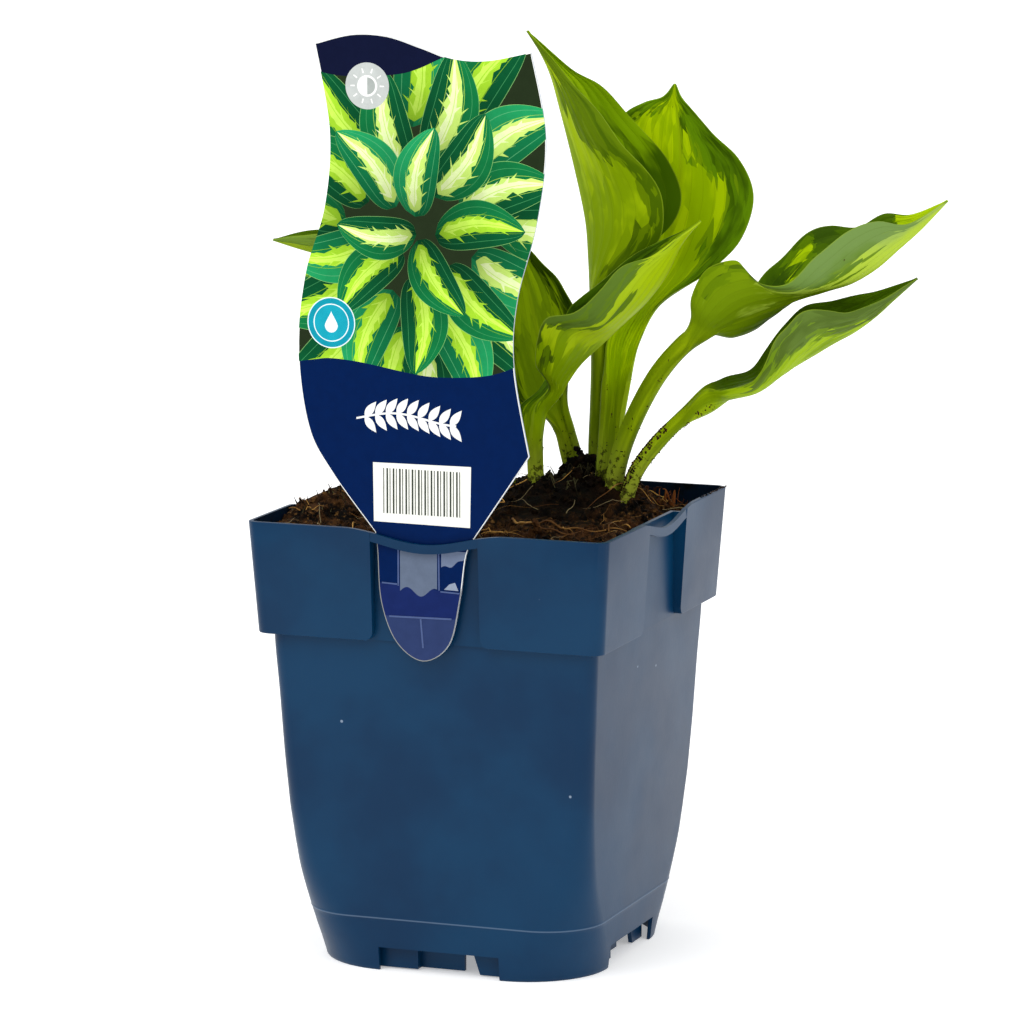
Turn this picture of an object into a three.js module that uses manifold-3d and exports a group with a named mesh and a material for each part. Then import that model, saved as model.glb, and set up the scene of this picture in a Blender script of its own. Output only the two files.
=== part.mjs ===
// Potted hosta: a square nursery pot with its soil, the crown of the plant, seven leaves and a plant label.
// Millimetres, Z up, the ground at z = 0 and the pot's centre line on the Z axis. The label stands on the -Y side.
import * as THREE from 'three';
import { mergeVertices } from 'three/addons/utils/BufferGeometryUtils.js';
import Module from 'manifold-3d';

const wasm = await Module();
wasm.setup();

// Pot: half widths are measured from the centre line to a flat side
const POT_HEIGHT = 126;
const WALL = 1.2;
const RIM_HALF = 52.5;
const COLLAR_FOOT_HALF = 50.5;
const COLLAR_FOOT_Z = 94.6;
const COLLAR_CORNER = 3.5;
// Body outline, from the ground up: height, half width, corner radius
const BODY = [
  [0, 41.3, 23.5],
  [4, 41.7, 22],
  [9, 42.4, 20],
  [15, 43, 17],
  [22, 43.4, 12.8],
  [28, 43.8, 10],
  [35, 44.2, 8],
  [45, 44.8, 6],
  [60, 45.6, 4.8],
  [78, 46.5, 4.4],
  [COLLAR_FOOT_Z, 47.4, 4],
];
const FLOOR_UNDER = 7;
const FLOOR_TOP = 8.5;
const DRAIN_RADIUS = 4.5;
const DRAIN_OFFSET = 22;
const CENTRE_PAD_RADIUS = 7;

// Label slot in the middle of each side of the collar
const SLOT_HALF = 15.7;
const SLOT_FLOOR = 48.3;
const SLOT_FLARE = 2.7;
const SLOT_WALL_TOP = 124;
const DIP_HALF = 24;
const DIP_DEPTH = 3.5;
const STRIP_HEIGHT = 2.5;

// Foot skirt: a notch in the middle of each side, with short inner walls behind it
const NOTCH_HALF = 17.8;
const NOTCH_HEIGHT = 6.7;
const INNER_WALL_SETBACK = 38.3;
const INNER_WALL_DEEP = 35.5;
const INNER_WALL_FOOT = 0.4;

// Soil and crown
const FIT = 0.3;
const SOIL_LEVEL = 121.5;
const MOUND_RISE = 8;
const MOUND_RADIUS = 24;
const CROWN_TOP = 118;
const CROWN_CENTRE = [23, 21];
const CROWN_HALF = [20.5, 15.5];
const HOLE_ROOM = 0.7;

// Label: a thin S-shaped sheet whose tongue stands in the slot of the -Y side
const LABEL_FRONT = 50.8;
const LABEL_THICK = 0.6;

// Leaves are laid out in the plant's own frame, turned about Z: across, away, up
const PLANT_TURN = THREE.MathUtils.degToRad(20.5);
const BLADE_TOP = 0.32;
const BLADE_UNDER = 0.34;
const MIDRIB = 0.9;
const STALK_THICK = 3;
const STALK_SHIFT = 1.1;
const COLUMNS = 6;
const ROWS_PER_STATION = 2.2;

// Helpers for solids

function geometryOf(points, triangles) {
  const geometry = new THREE.BufferGeometry();
  geometry.setAttribute('position', new THREE.Float32BufferAttribute(points.flatMap((p) => [p.x, p.y, p.z]), 3));
  geometry.setIndex(triangles.flat());
  return geometry;
}

function toManifold(geometry) {
  const plain = new THREE.BufferGeometry();
  plain.setAttribute('position', geometry.getAttribute('position'));
  if (geometry.index) plain.setIndex(geometry.index);
  const merged = mergeVertices(plain, 1e-4);
  const mesh = new wasm.Mesh({
    numProp: 3,
    vertProperties: new Float32Array(merged.attributes.position.array),
    triVerts: new Uint32Array(merged.index.array),
  });
  return new wasm.Manifold(mesh);
}

function toGeometry(manifold) {
  const mesh = manifold.getMesh();
  const geometry = new THREE.BufferGeometry();
  geometry.setAttribute('position', new THREE.BufferAttribute(new Float32Array(mesh.vertProperties), 3));
  geometry.setIndex(new THREE.BufferAttribute(new Uint32Array(mesh.triVerts), 1));
  return geometry;
}

function box(x0, x1, y0, y1, z0, z1) {
  const geometry = new THREE.BoxGeometry(x1 - x0, y1 - y0, z1 - z0);
  geometry.translate((x0 + x1) / 2, (y0 + y1) / 2, (z0 + z1) / 2);
  return toManifold(geometry);
}

// A square ring with rounded corners, anticlockwise from above
function roundedSquare(half, radius, z, steps) {
  const ring = [];
  for (let corner = 0; corner < 4; corner += 1) {
    const middle = Math.PI / 4 + (corner * Math.PI) / 2;
    const cx = Math.sign(Math.cos(middle)) * (half - radius);
    const cy = Math.sign(Math.sin(middle)) * (half - radius);
    for (let i = 0; i <= steps; i += 1) {
      const a = (corner + i / steps) * (Math.PI / 2);
      ring.push(new THREE.Vector3(cx + radius * Math.cos(a), cy + radius * Math.sin(a), z));
    }
  }
  return ring;
}

// Skin over rings of equal length, closed at both ends by fans
function loft(rings) {
  const n = rings[0].length;
  const points = rings.flat();
  const triangles = [];
  for (let k = 0; k < rings.length - 1; k += 1) {
    for (let i = 0; i < n; i += 1) {
      const a = k * n + i;
      const b = k * n + ((i + 1) % n);
      triangles.push([a, b, b + n], [a, b + n, a + n]);
    }
  }
  const last = (rings.length - 1) * n;
  for (let i = 1; i < n - 1; i += 1) {
    triangles.push([0, i + 1, i]);
    triangles.push([last, last + i, last + i + 1]);
  }
  return geometryOf(points, triangles);
}

// A flat outline in x and z, given thickness along y
function sheetAlongY(outline, y0, y1) {
  const shape = new THREE.Shape(outline.map(([x, z]) => new THREE.Vector2(x, z)));
  const geometry = new THREE.ExtrudeGeometry(shape, { depth: y1 - y0, bevelEnabled: false, curveSegments: 1 });
  geometry.rotateX(Math.PI / 2);
  geometry.translate(0, y1, 0);
  return geometry;
}

// Drops crumbs that a cut has left loose
function mainPiece(manifold) {
  return manifold.decompose().reduce((a, b) => (a.volume() > b.volume() ? a : b));
}

function turned(manifold, quarter) {
  return manifold.rotate([0, 0, 90 * quarter]);
}

function spline(points, steps) {
  return new THREE.SplineCurve(points.map(([x, z]) => new THREE.Vector2(x, z)))
    .getPoints(steps)
    .map((p) => [p.x, p.y]);
}

// Pot

const potCorner = 5;

function collarHalf(z) {
  const t = (z - COLLAR_FOOT_Z) / (POT_HEIGHT - COLLAR_FOOT_Z);
  return COLLAR_FOOT_HALF + t * (RIM_HALF - COLLAR_FOOT_HALF);
}

function rimDip(x) {
  return DIP_DEPTH * (0.5 + 0.5 * Math.cos(Math.PI * Math.min(1, Math.abs(x) / DIP_HALF)));
}

// The hollow of the pot, larger or smaller by a margin: the soil fills it with a small clearance
function hollow(margin) {
  const floor = FLOOR_TOP - margin;
  const body = BODY.filter(([z]) => z > FLOOR_TOP).map(([z, half, corner]) => {
    return roundedSquare(half - WALL + margin, Math.max(corner - WALL, 1) + margin, z, potCorner);
  });
  const atFloor = roundedSquare(42.3 - WALL + margin, 19 + margin, floor, potCorner);
  const ledge = COLLAR_FOOT_Z + WALL - margin;
  const neck = roundedSquare(47.4 - WALL + margin, 2.8 + margin, ledge + 1, potCorner);
  const lower = toManifold(loft([atFloor, ...body, neck]));
  const upper = toManifold(loft([
    roundedSquare(collarHalf(ledge) - WALL + margin, COLLAR_CORNER - 1 + margin, ledge, potCorner),
    roundedSquare(collarHalf(140) - WALL + margin, COLLAR_CORNER - 1 + margin, 140, potCorner),
  ]));
  let room = lower.add(upper);
  const wallBack = SLOT_FLOOR - WALL + margin;
  const side = SLOT_HALF + WALL - margin;
  for (let q = 0; q < 4; q += 1) {
    const slotBlock = box(-side, side, -60, -wallBack, COLLAR_FOOT_Z - 4, SLOT_WALL_TOP - margin);
    room = room.subtract(turned(slotBlock, q));
  }
  return room;
}

// The slot's open front: flares out at the collar's foot, as the panels' lower corners are rounded
function slotPocket() {
  const outline = [[-SLOT_HALF, 130], [SLOT_HALF, 130]];
  for (let i = 0; i <= 4; i += 1) {
    const a = (i / 4) * (Math.PI / 2);
    outline.push([
      SLOT_HALF + SLOT_FLARE * (1 - Math.cos(a)),
      COLLAR_FOOT_Z + SLOT_FLARE * (1 - Math.sin(a)),
    ]);
  }
  outline.push([SLOT_HALF + SLOT_FLARE, COLLAR_FOOT_Z - 1]);
  const left = outline.slice(2).reverse().map(([x, z]) => [-x, z]);
  return toManifold(sheetAlongY([...left, ...outline], -60, -SLOT_FLOOR));
}

// What the rim loses where it dips, between two depths along y
function aboveDip(half, drop, y0, y1) {
  const edge = [];
  for (let i = 0; i <= 16; i += 1) {
    const x = half - (2 * half * i) / 16;
    edge.push([x, POT_HEIGHT - rimDip(x) - drop]);
  }
  return toManifold(sheetAlongY([[-half, 140], [half, 140], ...edge], y0, y1));
}

function bridgeStrip() {
  const half = SLOT_HALF + 0.6;
  const top = [];
  for (let i = 0; i <= 12; i += 1) {
    const x = half - (2 * half * i) / 12;
    top.push([x, POT_HEIGHT - rimDip(x)]);
  }
  const bottom = top.map(([x, z]) => [x, z - STRIP_HEIGHT]).reverse();
  const front = collarHalf(POT_HEIGHT - DIP_DEPTH);
  return toManifold(sheetAlongY([...top, ...bottom], -front, -(front - WALL)));
}

function innerFootWall() {
  const height = FLOOR_UNDER + 0.5;
  const shallow = box(-NOTCH_HALF - 1, -7.4, -INNER_WALL_SETBACK, -INNER_WALL_SETBACK + WALL, INNER_WALL_FOOT, height);
  const jog = box(-8.6, -7.4, -INNER_WALL_SETBACK, -INNER_WALL_DEEP + WALL, INNER_WALL_FOOT, height);
  const deep = box(-8.6, 5.4, -INNER_WALL_DEEP, -INNER_WALL_DEEP + WALL, INNER_WALL_FOOT, height);
  const rightOutline = [[11, INNER_WALL_FOOT], [19, INNER_WALL_FOOT], [19, height], [8.6, height]];
  const right = toManifold(sheetAlongY(rightOutline, -INNER_WALL_SETBACK, -INNER_WALL_SETBACK + WALL));
  return shallow.add(jog).add(deep).add(right);
}

function makePot() {
  const body = toManifold(loft([
    ...BODY.map(([z, half, corner]) => roundedSquare(half, corner, z, potCorner)),
    roundedSquare(47.4, 4, COLLAR_FOOT_Z + 2, potCorner),
  ]));
  const collar = toManifold(loft([
    roundedSquare(COLLAR_FOOT_HALF, COLLAR_CORNER, COLLAR_FOOT_Z, potCorner),
    roundedSquare(RIM_HALF, COLLAR_CORNER, POT_HEIGHT, potCorner),
  ]));
  const under = toManifold(loft([
    roundedSquare(41.3 - WALL, 22.3, -1, potCorner),
    roundedSquare(42 - WALL, 19.8, FLOOR_UNDER, potCorner),
  ]));
  let pot = body.add(collar).subtract(hollow(0)).subtract(under);
  const notch = box(-NOTCH_HALF, NOTCH_HALF, -60, -39.6, -1, NOTCH_HEIGHT);
  for (let q = 0; q < 4; q += 1) {
    pot = pot.subtract(turned(slotPocket(), q));
    pot = pot.subtract(turned(aboveDip(DIP_HALF, 0, -60, -SLOT_FLOOR - 0.01), q));
    pot = pot.subtract(turned(notch, q));
  }
  for (let q = 0; q < 4; q += 1) {
    pot = pot.add(turned(bridgeStrip(), q));
    pot = pot.add(turned(innerFootWall(), q));
  }
  for (const [sx, sy] of [[1, 1], [-1, 1], [-1, -1], [1, -1]]) {
    const drain = new THREE.CylinderGeometry(DRAIN_RADIUS, DRAIN_RADIUS, 6, 12);
    drain.rotateX(Math.PI / 2);
    drain.translate(sx * DRAIN_OFFSET, sy * DRAIN_OFFSET, FLOOR_TOP);
    pot = pot.subtract(toManifold(drain));
  }
  const pad = new THREE.CylinderGeometry(CENTRE_PAD_RADIUS, CENTRE_PAD_RADIUS, FLOOR_UNDER + 0.5, 16);
  pad.rotateX(Math.PI / 2);
  pad.translate(0, 0, (FLOOR_UNDER + 0.5) / 2);
  return pot.add(toManifold(pad));
}

// Leaves
// Each leaf is a stalk and a blade in one. A stalk station is the back of the channelled stalk. A blade
// station gives the left margin, the midrib and the right margin, seen from the upper side with the tip up,
// then how far each half bulges to the underside.

const LEAVES = {
  leaf_tall: {
    across: [0, 1, 0],
    width: 2.7,
    stalk: [[30.2, 30, 116], [30.1, 30, 127], [29.9, 30, 137], [30.3, 30, 148], [30.6, 30, 159], [30.5, 29.8, 170]],
    blade: [
      [[30.6, 26.4, 181], [29.8, 29, 181], [31.2, 31.6, 180], 0.5, 0.5],
      [[38, 19, 189], [29, 29, 190], [38.5, 36, 189], 2, 1.5],
      [[47, 14, 199], [28, 29, 201], [51, 38, 200], 3, 3],
      [[48, 13, 209], [26, 29, 211], [54, 38, 208], 3, 3],
      [[43, 13, 218], [23, 28, 223], [50, 38, 218], 3, 3],
      [[35, 16, 227], [20, 27, 234], [40, 36, 230], 2.5, 2.5],
      [[27, 19, 237], [17, 26, 244], [31, 33, 239.6], 1.5, 1.5],
      [[19, 22, 246], [14, 26, 250], [22.4, 29, 245.2], 0.8, 0.8],
      [[10, 25, 256]],
    ],
  },
  leaf_broad: {
    across: [1, 0, 0],
    width: 3.2,
    stalk: [[32.6, 22.3, 116], [32.6, 22.3, 127], [33.2, 22.9, 136], [33.9, 24.4, 145]],
    blade: [
      [[31.3, 23.6, 155.5], [35, 27, 154.5], [38.8, 23.8, 155.5], 0.4, 0.4],
      [[31.9, 24, 162], [36, 28.4, 161], [40.2, 24.6, 162], 0.5, 0.5],
      [[32.8, 25.4, 168.5], [37.4, 31, 167.5], [42, 27, 168.5], 0.8, 0.8],
      [[36.5, 33, 177], [42.5, 37, 176], [47.5, 33, 177.5], 1, 1],
      [[38, 43, 186], [49, 45, 187], [61, 39, 186], 1.5, 2],
      [[34, 45, 197], [51, 47, 197], [71, 37, 196], 2, 3],
      [[33, 46, 209], [53, 48, 207], [74, 36, 208], 2, 3],
      [[34, 46, 220], [54, 48, 217], [70, 38, 219], 1.5, 2.5],
      [[37.5, 46, 230.5], [53.5, 48, 226], [62.3, 42, 225.8], 1, 1.5],
      [[43.2, 47, 234], [52.8, 48, 231.5], [56.9, 45, 232.2], 0.5, 0.5],
      [[48.6, 46.8, 235.6], [51.9, 47.2, 235], [53.9, 46, 235.6], 0.2, 0.2],
      [[52, 46, 239.3]],
    ],
  },
  leaf_front: {
    across: [0, -1, 0],
    width: 2.5,
    stalk: [[12.3, 20, 116], [12.3, 20, 128], [12, 19.8, 135.5]],
    blade: [
      [[8.8, 21.8, 142.5], [12.4, 19.3, 142.5], [11.6, 16, 143.5], 0.4, 0.4],
      [[7.8, 21, 150], [14.4, 18, 149.5], [12.6, 14.2, 151.5], 0.5, 0.4],
      [[13.5, 19.5, 155.5], [18.2, 15.6, 154.5], [16, 12.6, 156.5], 0.4, 0.4],
      [[16, 22, 161], [20, 14.5, 158], [12, 3, 165], 2, 2],
      [[18, 22, 168], [24, 13, 164], [13, -2, 172], 2.5, 3],
      [[21, 19, 177], [30, 11.5, 170], [15, -5, 179], 2.5, 3],
      [[25, 15, 182], [36, 9.5, 176], [23, -6, 180], 2, 3],
      [[32, 12, 188], [43, 7, 183], [30, -5, 187], 1.5, 2.5],
      [[40, 9, 195], [48, 5, 190], [37, -3, 193], 1, 1.5],
      [[47, 6, 199], [52, 3.5, 198], [45, 0, 196], 0.5, 0.8],
      [[53, 4, 202], [55, 2.5, 202], [52.5, 1, 201], 0.2, 0.2],
      [[58, 2, 205]],
    ],
  },
  leaf_upper_right: {
    across: [0, -1, 0],
    width: 2.6,
    deep: 3.7,
    stalk: [[34, 14.5, 116], [34, 14.5, 127], [36, 14, 138], [40.6, 13, 150], [46.9, 11.2, 161.6], [53.8, 9.5, 169.8]],
    blade: [
      [[57.6, 11.5, 174.2], [59.7, 8, 173.4], [55.5, 5, 176], 0.3, 0.3],
      [[65, 16, 175], [66, 7, 176.4], [55.5, -1, 184], 4, 2],
      [[71, 22, 180], [73, 6, 179.2], [60.5, -5, 193], 6, 3],
      [[76, 24, 186], [79, 5.5, 181.2], [67.5, -6, 195], 6, 3],
      [[81, 22, 192], [86, 5, 184], [73, -6, 189], 4, 1.5],
      [[88, 20, 199], [93, 5, 186], [82, -7, 189], 3, 1.5],
      [[95, 18, 202], [100, 5.5, 188], [90, -7, 196], 2.5, 2.5],
      [[103, 15, 202], [107, 6, 192], [98, -5, 203], 2, 2.5],
      [[110, 12, 206], [113, 6.5, 197], [107, -1, 205], 1, 1.5],
      [[117, 10, 206], [119, 7, 202], [115.5, 4, 204], 0.3, 0.4],
      [[127, 8, 210]],
    ],
  },
  leaf_lower_right: {
    across: [0, -1, 0],
    width: 2.2,
    deep: 2.8,
    stalk: [[36.9, 9.3, 115], [37.4, 9.3, 125], [40.4, 9.3, 133.6], [46.2, 9, 141.7], [53, 8.2, 148.7]],
    blade: [
      [[59.5, 10, 157], [60.8, 6.5, 152.6], [59.5, 3, 157], 0.3, 0.3],
      [[65, 14, 159], [66.8, 6, 156.4], [64.5, -3, 158], 1.5, 1.5],
      [[72, 17, 161], [74, 5.5, 159.6], [71, -6, 160], 2, 2.5],
      [[77, 18, 166], [81, 5.5, 163], [76, -8, 167], 2.5, 3],
      [[82, 18, 174], [88, 6, 167], [80, -8, 175], 2.5, 3],
      [[88, 17, 179], [95, 6.5, 171], [85, -7, 180], 2.5, 3],
      [[96, 15, 181.4], [101, 7, 174], [93, -5, 181], 2, 2.5],
      [[103, 13, 183], [107, 8, 178], [100, -2, 180], 1.2, 1.5],
      [[109, 12, 184.6], [112, 9.5, 182], [108, 4, 182.5], 0.4, 0.6],
      [[119, 10, 188]],
    ],
  },
  leaf_behind_label: {
    across: [1, 0, 0],
    width: 2.6,
    stalk: [[24.2, 34.8, 116], [24, 34.6, 127], [22.3, 33.8, 135.5], [20.5, 32.2, 142]],
    blade: [
      [[13.5, 28.5, 147], [19, 31.2, 147], [21, 28.5, 150], 0.4, 0.4],
      [[6.5, 24.5, 151], [16.5, 31.2, 155], [22, 25, 162], 1.5, 1.5],
      [[3, 22, 163], [14, 32, 165], [24, 26, 173], 2, 2],
      [[1, 23, 173], [12, 33, 174], [22, 28, 180], 2, 2],
      [[1, 25, 183], [10, 34, 183], [18, 30, 186], 1.5, 1.5],
      [[3, 29, 191], [8, 34.5, 190], [13, 32, 191], 0.8, 0.8],
      [[6, 35, 198]],
    ],
  },
  leaf_left: {
    across: [0, 1, 0],
    width: 2.4,
    stalk: [[5, 25, 116], [4.8, 25, 128], [3.6, 23, 138], [1.5, 20, 148], [-2, 17, 157]],
    blade: [
      [[-6, 11, 168], [-7, 14, 167], [-6, 17, 168], 0.3, 0.3],
      [[-10, 2, 182], [-13, 12, 175], [-9, 22, 182], 2, 2],
      [[-19, -2, 193], [-20, 11, 183], [-16, 24, 191], 3, 3],
      [[-29, -3, 199], [-28, 10, 189], [-25, 23, 197], 3, 3],
      [[-39, 0, 201], [-37, 10, 193], [-35, 20, 201], 2, 2],
      [[-47, 3, 201], [-46, 9.5, 195], [-45, 16, 201], 1, 1],
      [[-54, 6, 200.5], [-54, 9, 197], [-53, 12, 201], 0.4, 0.4],
      [[-61, 9, 199]],
    ],
  },
};

const vector = (p) => new THREE.Vector3(p[0], p[1], p[2]);

// The three rails of a leaf with its bulges, all as points of equal count
function railsOf(leaf) {
  const across = vector(leaf.across);
  const left = [];
  const middle = [];
  const right = [];
  const bulge = [];
  const stalkness = [];
  leaf.stalk.forEach((p, i) => {
    const next = leaf.stalk[i + 1] ?? leaf.blade[0][1];
    const along = vector(next).sub(vector(p)).normalize();
    const open = across.clone().cross(along).normalize();
    const lift = open.multiplyScalar(leaf.width * 0.45);
    left.push(vector(p).addScaledVector(across, -leaf.width).add(lift));
    middle.push(vector(p));
    right.push(vector(p).addScaledVector(across, leaf.width).add(lift));
    bulge.push(new THREE.Vector3(0.35, 0.35, 0));
    stalkness.push(1);
  });
  leaf.blade.forEach((station, i) => {
    if (station.length === 1) {
      const tip = vector(station[0]);
      const spread = right.at(-1).clone().sub(left.at(-1)).normalize().multiplyScalar(0.4);
      left.push(tip.clone().sub(spread));
      middle.push(tip);
      right.push(tip.clone().add(spread));
      bulge.push(new THREE.Vector3(0, 0, 0));
    } else {
      left.push(vector(station[0]));
      middle.push(vector(station[1]));
      right.push(vector(station[2]));
      bulge.push(new THREE.Vector3(station[3], station[4], 0));
    }
    stalkness.push([0.75, 0.35, 0.15, 0.05][i] ?? 0);
  });
  const thick = stalkness.map((s) => new THREE.Vector3(s, 0, 0));
  const curve = (points) => new THREE.CatmullRomCurve3(points, false, 'centripetal');
  return {
    left: curve(left),
    middle: curve(middle),
    right: curve(right),
    bulge: curve(bulge),
    thick: curve(thick),
    deep: leaf.deep ?? STALK_THICK,
  };
}

// One row of a leaf: points on the upper and the under side from the left margin to the right one
function leafRow(rails, t, columns) {
  const left = rails.left.getPoint(t);
  const middle = rails.middle.getPoint(t);
  const right = rails.right.getPoint(t);
  const bulge = rails.bulge.getPoint(t);
  const thick = THREE.MathUtils.clamp(rails.thick.getPoint(t).x, 0, 1);
  const along = rails.middle.getPoint(Math.min(1, t + 0.01)).sub(rails.middle.getPoint(Math.max(0, t - 0.01)));
  along.normalize();
  const surface = [];
  for (let j = 0; j <= columns; j += 1) {
    const s = (2 * j) / columns - 1;
    const edge = s < 0 ? left : right;
    const reach = edge.clone().sub(middle);
    const outward = s < 0 ? reach.clone().cross(along) : along.clone().cross(reach);
    outward.normalize();
    const k = Math.abs(s);
    const bow = 4 * k * (1 - k) * (s < 0 ? bulge.x : bulge.y);
    surface.push(middle.clone().addScaledVector(reach, k).addScaledVector(outward, bow));
  }
  const upper = [];
  const under = [];
  for (let j = 0; j <= columns; j += 1) {
    const s = (2 * j) / columns - 1;
    const step = surface[Math.min(columns, j + 1)].clone().sub(surface[Math.max(0, j - 1)]);
    const normal = step.cross(along).normalize();
    const round = Math.sqrt(Math.max(0, 1 - s * s));
    const rib = MIDRIB * Math.max(0, 1 - 4 * Math.abs(s)) * Math.min(1, 3 * (1 - t));
    const below = BLADE_UNDER + rib * (1 - thick) + thick * (0.3 + rails.deep * round);
    const shift = (thick * STALK_SHIFT * rails.deep) / STALK_THICK;
    upper.push(surface[j].clone().addScaledVector(normal, BLADE_TOP + shift));
    under.push(surface[j].clone().addScaledVector(normal, shift - below));
  }
  return { upper, under };
}

// Both faces of a leaf are cut by the same diagonals
function leafSolid(rows) {
  const columns = rows[0].upper.length;
  const points = rows.flatMap((row) => [...row.upper, ...row.under]);
  const up = (i, j) => i * 2 * columns + j;
  const down = (i, j) => i * 2 * columns + columns + j;
  const triangles = [];
  for (let i = 0; i < rows.length - 1; i += 1) {
    for (let j = 0; j < columns - 1; j += 1) {
      triangles.push([up(i, j), up(i, j + 1), up(i + 1, j + 1)]);
      triangles.push([up(i, j), up(i + 1, j + 1), up(i + 1, j)]);
      triangles.push([down(i, j), down(i + 1, j + 1), down(i, j + 1)]);
      triangles.push([down(i, j), down(i + 1, j), down(i + 1, j + 1)]);
    }
    const last = columns - 1;
    triangles.push([up(i, 0), up(i + 1, 0), down(i + 1, 0)]);
    triangles.push([up(i, 0), down(i + 1, 0), down(i, 0)]);
    triangles.push([up(i, last), down(i + 1, last), up(i + 1, last)]);
    triangles.push([up(i, last), down(i, last), down(i + 1, last)]);
  }
  for (let j = 0; j < columns - 1; j += 1) {
    const end = rows.length - 1;
    triangles.push([up(0, j), down(0, j), down(0, j + 1)]);
    triangles.push([up(0, j), down(0, j + 1), up(0, j + 1)]);
    triangles.push([up(end, j), down(end, j + 1), down(end, j)]);
    triangles.push([up(end, j), up(end, j + 1), down(end, j + 1)]);
  }
  return geometryOf(points, triangles).rotateZ(PLANT_TURN);
}

function makeLeaf(leaf) {
  const rails = railsOf(leaf);
  const stations = leaf.stalk.length + leaf.blade.length;
  const count = Math.round((stations - 1) * ROWS_PER_STATION);
  const rows = [];
  for (let i = 0; i <= count; i += 1) {
    rows.push(leafRow(rails, i / count, COLUMNS));
  }
  return leafSolid(rows);
}

// A plain hole around the foot of a stalk, wider than the stalk all round
function footHole(leaf) {
  const rails = railsOf(leaf);
  const stations = leaf.stalk.length + leaf.blade.length;
  const rings = [];
  for (const station of [0, 0.5, 1, 1.6, 2.2]) {
    const { upper, under } = leafRow(rails, station / (stations - 1), COLUMNS);
    const centre = [...upper, ...under].reduce((sum, p) => sum.add(p), new THREE.Vector3());
    centre.divideScalar(upper.length + under.length);
    const grown = (p, away) => {
      const out = p.clone().sub(centre).normalize();
      const off = p.clone().sub(away).normalize();
      return p.clone().addScaledVector(out, HOLE_ROOM).addScaledVector(off, HOLE_ROOM / 2);
    };
    const top = upper.map((p, j) => grown(p, under[j]));
    const bottom = under.map((p, j) => grown(p, upper[j]));
    rings.push([...top, ...bottom.reverse()]);
  }
  const first = rings[0].map((p) => p.clone().add(new THREE.Vector3(0, 0, -FIT)));
  return toManifold(loft([first, ...rings]).rotateZ(PLANT_TURN));
}

// Crown and soil

// A knobbly, flattened root crown just under the soil, in the plant's frame
function crownBody(margin) {
  const rings = [];
  for (const [z, size] of [[-9, 0.45], [-5.5, 0.8], [0, 1], [5.5, 0.98], [8, 0.84]]) {
    const ring = [];
    for (let i = 0; i < 18; i += 1) {
      const a = (i / 18) * 2 * Math.PI;
      const knob = 1 + 0.05 * Math.sin(5 * a + 0.4 * z);
      const square = (Math.abs(Math.cos(a)) ** 3.4 + Math.abs(Math.sin(a)) ** 3.4) ** (-1 / 3.4);
      const reach = size * knob * square;
      ring.push(new THREE.Vector3(
        CROWN_CENTRE[0] + Math.cos(a) * (CROWN_HALF[0] * reach + margin),
        CROWN_CENTRE[1] + Math.sin(a) * (CROWN_HALF[1] * reach + margin),
        CROWN_TOP - 8 + z + margin * Math.sign(z),
      ));
    }
    rings.push(ring);
  }
  return toManifold(loft(rings).rotateZ(PLANT_TURN));
}

function soilHeight(x, y) {
  const u = x * Math.cos(PLANT_TURN) + y * Math.sin(PLANT_TURN);
  const v = y * Math.cos(PLANT_TURN) - x * Math.sin(PLANT_TURN);
  const du = Math.max(0, Math.abs(u - 23) - 10);
  const dv = v - 20;
  const mound = MOUND_RISE * Math.exp(-(du * du + dv * dv) / (MOUND_RADIUS * MOUND_RADIUS / 2));
  const left = 3.2 * Math.exp(-((x + 44) ** 2) / 160 - (y * y) / 1500);
  const lumps = 0.6 * Math.sin(0.31 * x + 1.3 * Math.sin(0.17 * y)) * Math.cos(0.27 * y - 0.4)
    + 0.35 * Math.sin(0.63 * x - 0.5 * y);
  const beside = Math.max(0, Math.abs(y + 9) - 12);
  const clod = 4.4 * Math.exp(-((x + 43) ** 2) / 90 - (beside * beside) / 40);
  const dip = 5 * Math.exp(-((x - 44) ** 2) / 220 - ((y - 44) ** 2) / 330);
  return SOIL_LEVEL + mound + left + clod - dip + lumps;
}

function soilSurfaceBlock() {
  const cells = 18;
  const reach = 54;
  const points = [];
  const triangles = [];
  const row = cells + 1;
  for (let i = 0; i <= cells; i += 1) {
    for (let j = 0; j <= cells; j += 1) {
      const x = -reach + (2 * reach * j) / cells;
      const y = -reach + (2 * reach * i) / cells;
      points.push(new THREE.Vector3(x, y, soilHeight(x, y)));
    }
  }
  const top = points.length;
  for (let k = 0; k < top; k += 1) {
    points.push(new THREE.Vector3(points[k].x, points[k].y, 0));
  }
  for (let i = 0; i < cells; i += 1) {
    for (let j = 0; j < cells; j += 1) {
      const a = i * row + j;
      triangles.push([a, a + 1, a + row + 1], [a, a + row + 1, a + row]);
      triangles.push([top + a, top + a + row + 1, top + a + 1], [top + a, top + a + row, top + a + row + 1]);
    }
  }
  const wall = (a, b) => triangles.push([a, top + a, top + b], [a, top + b, b]);
  for (let k = 0; k < cells; k += 1) {
    wall(k, k + 1);
    wall(k * row + cells, (k + 1) * row + cells);
    wall(cells * row + k + 1, cells * row + k);
    wall((k + 1) * row, k * row);
  }
  return toManifold(geometryOf(points, triangles));
}

function makeSoil() {
  let soil = hollow(-FIT).intersect(soilSurfaceBlock());
  soil = soil.subtract(crownBody(FIT));
  for (const leaf of Object.values(LEAVES)) {
    soil = soil.subtract(footHole(leaf));
  }
  return mainPiece(soil);
}

function makeCrown() {
  let crown = crownBody(0);
  for (const leaf of Object.values(LEAVES)) {
    crown = crown.subtract(footHole(leaf));
  }
  return mainPiece(crown);
}

// Label

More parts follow.
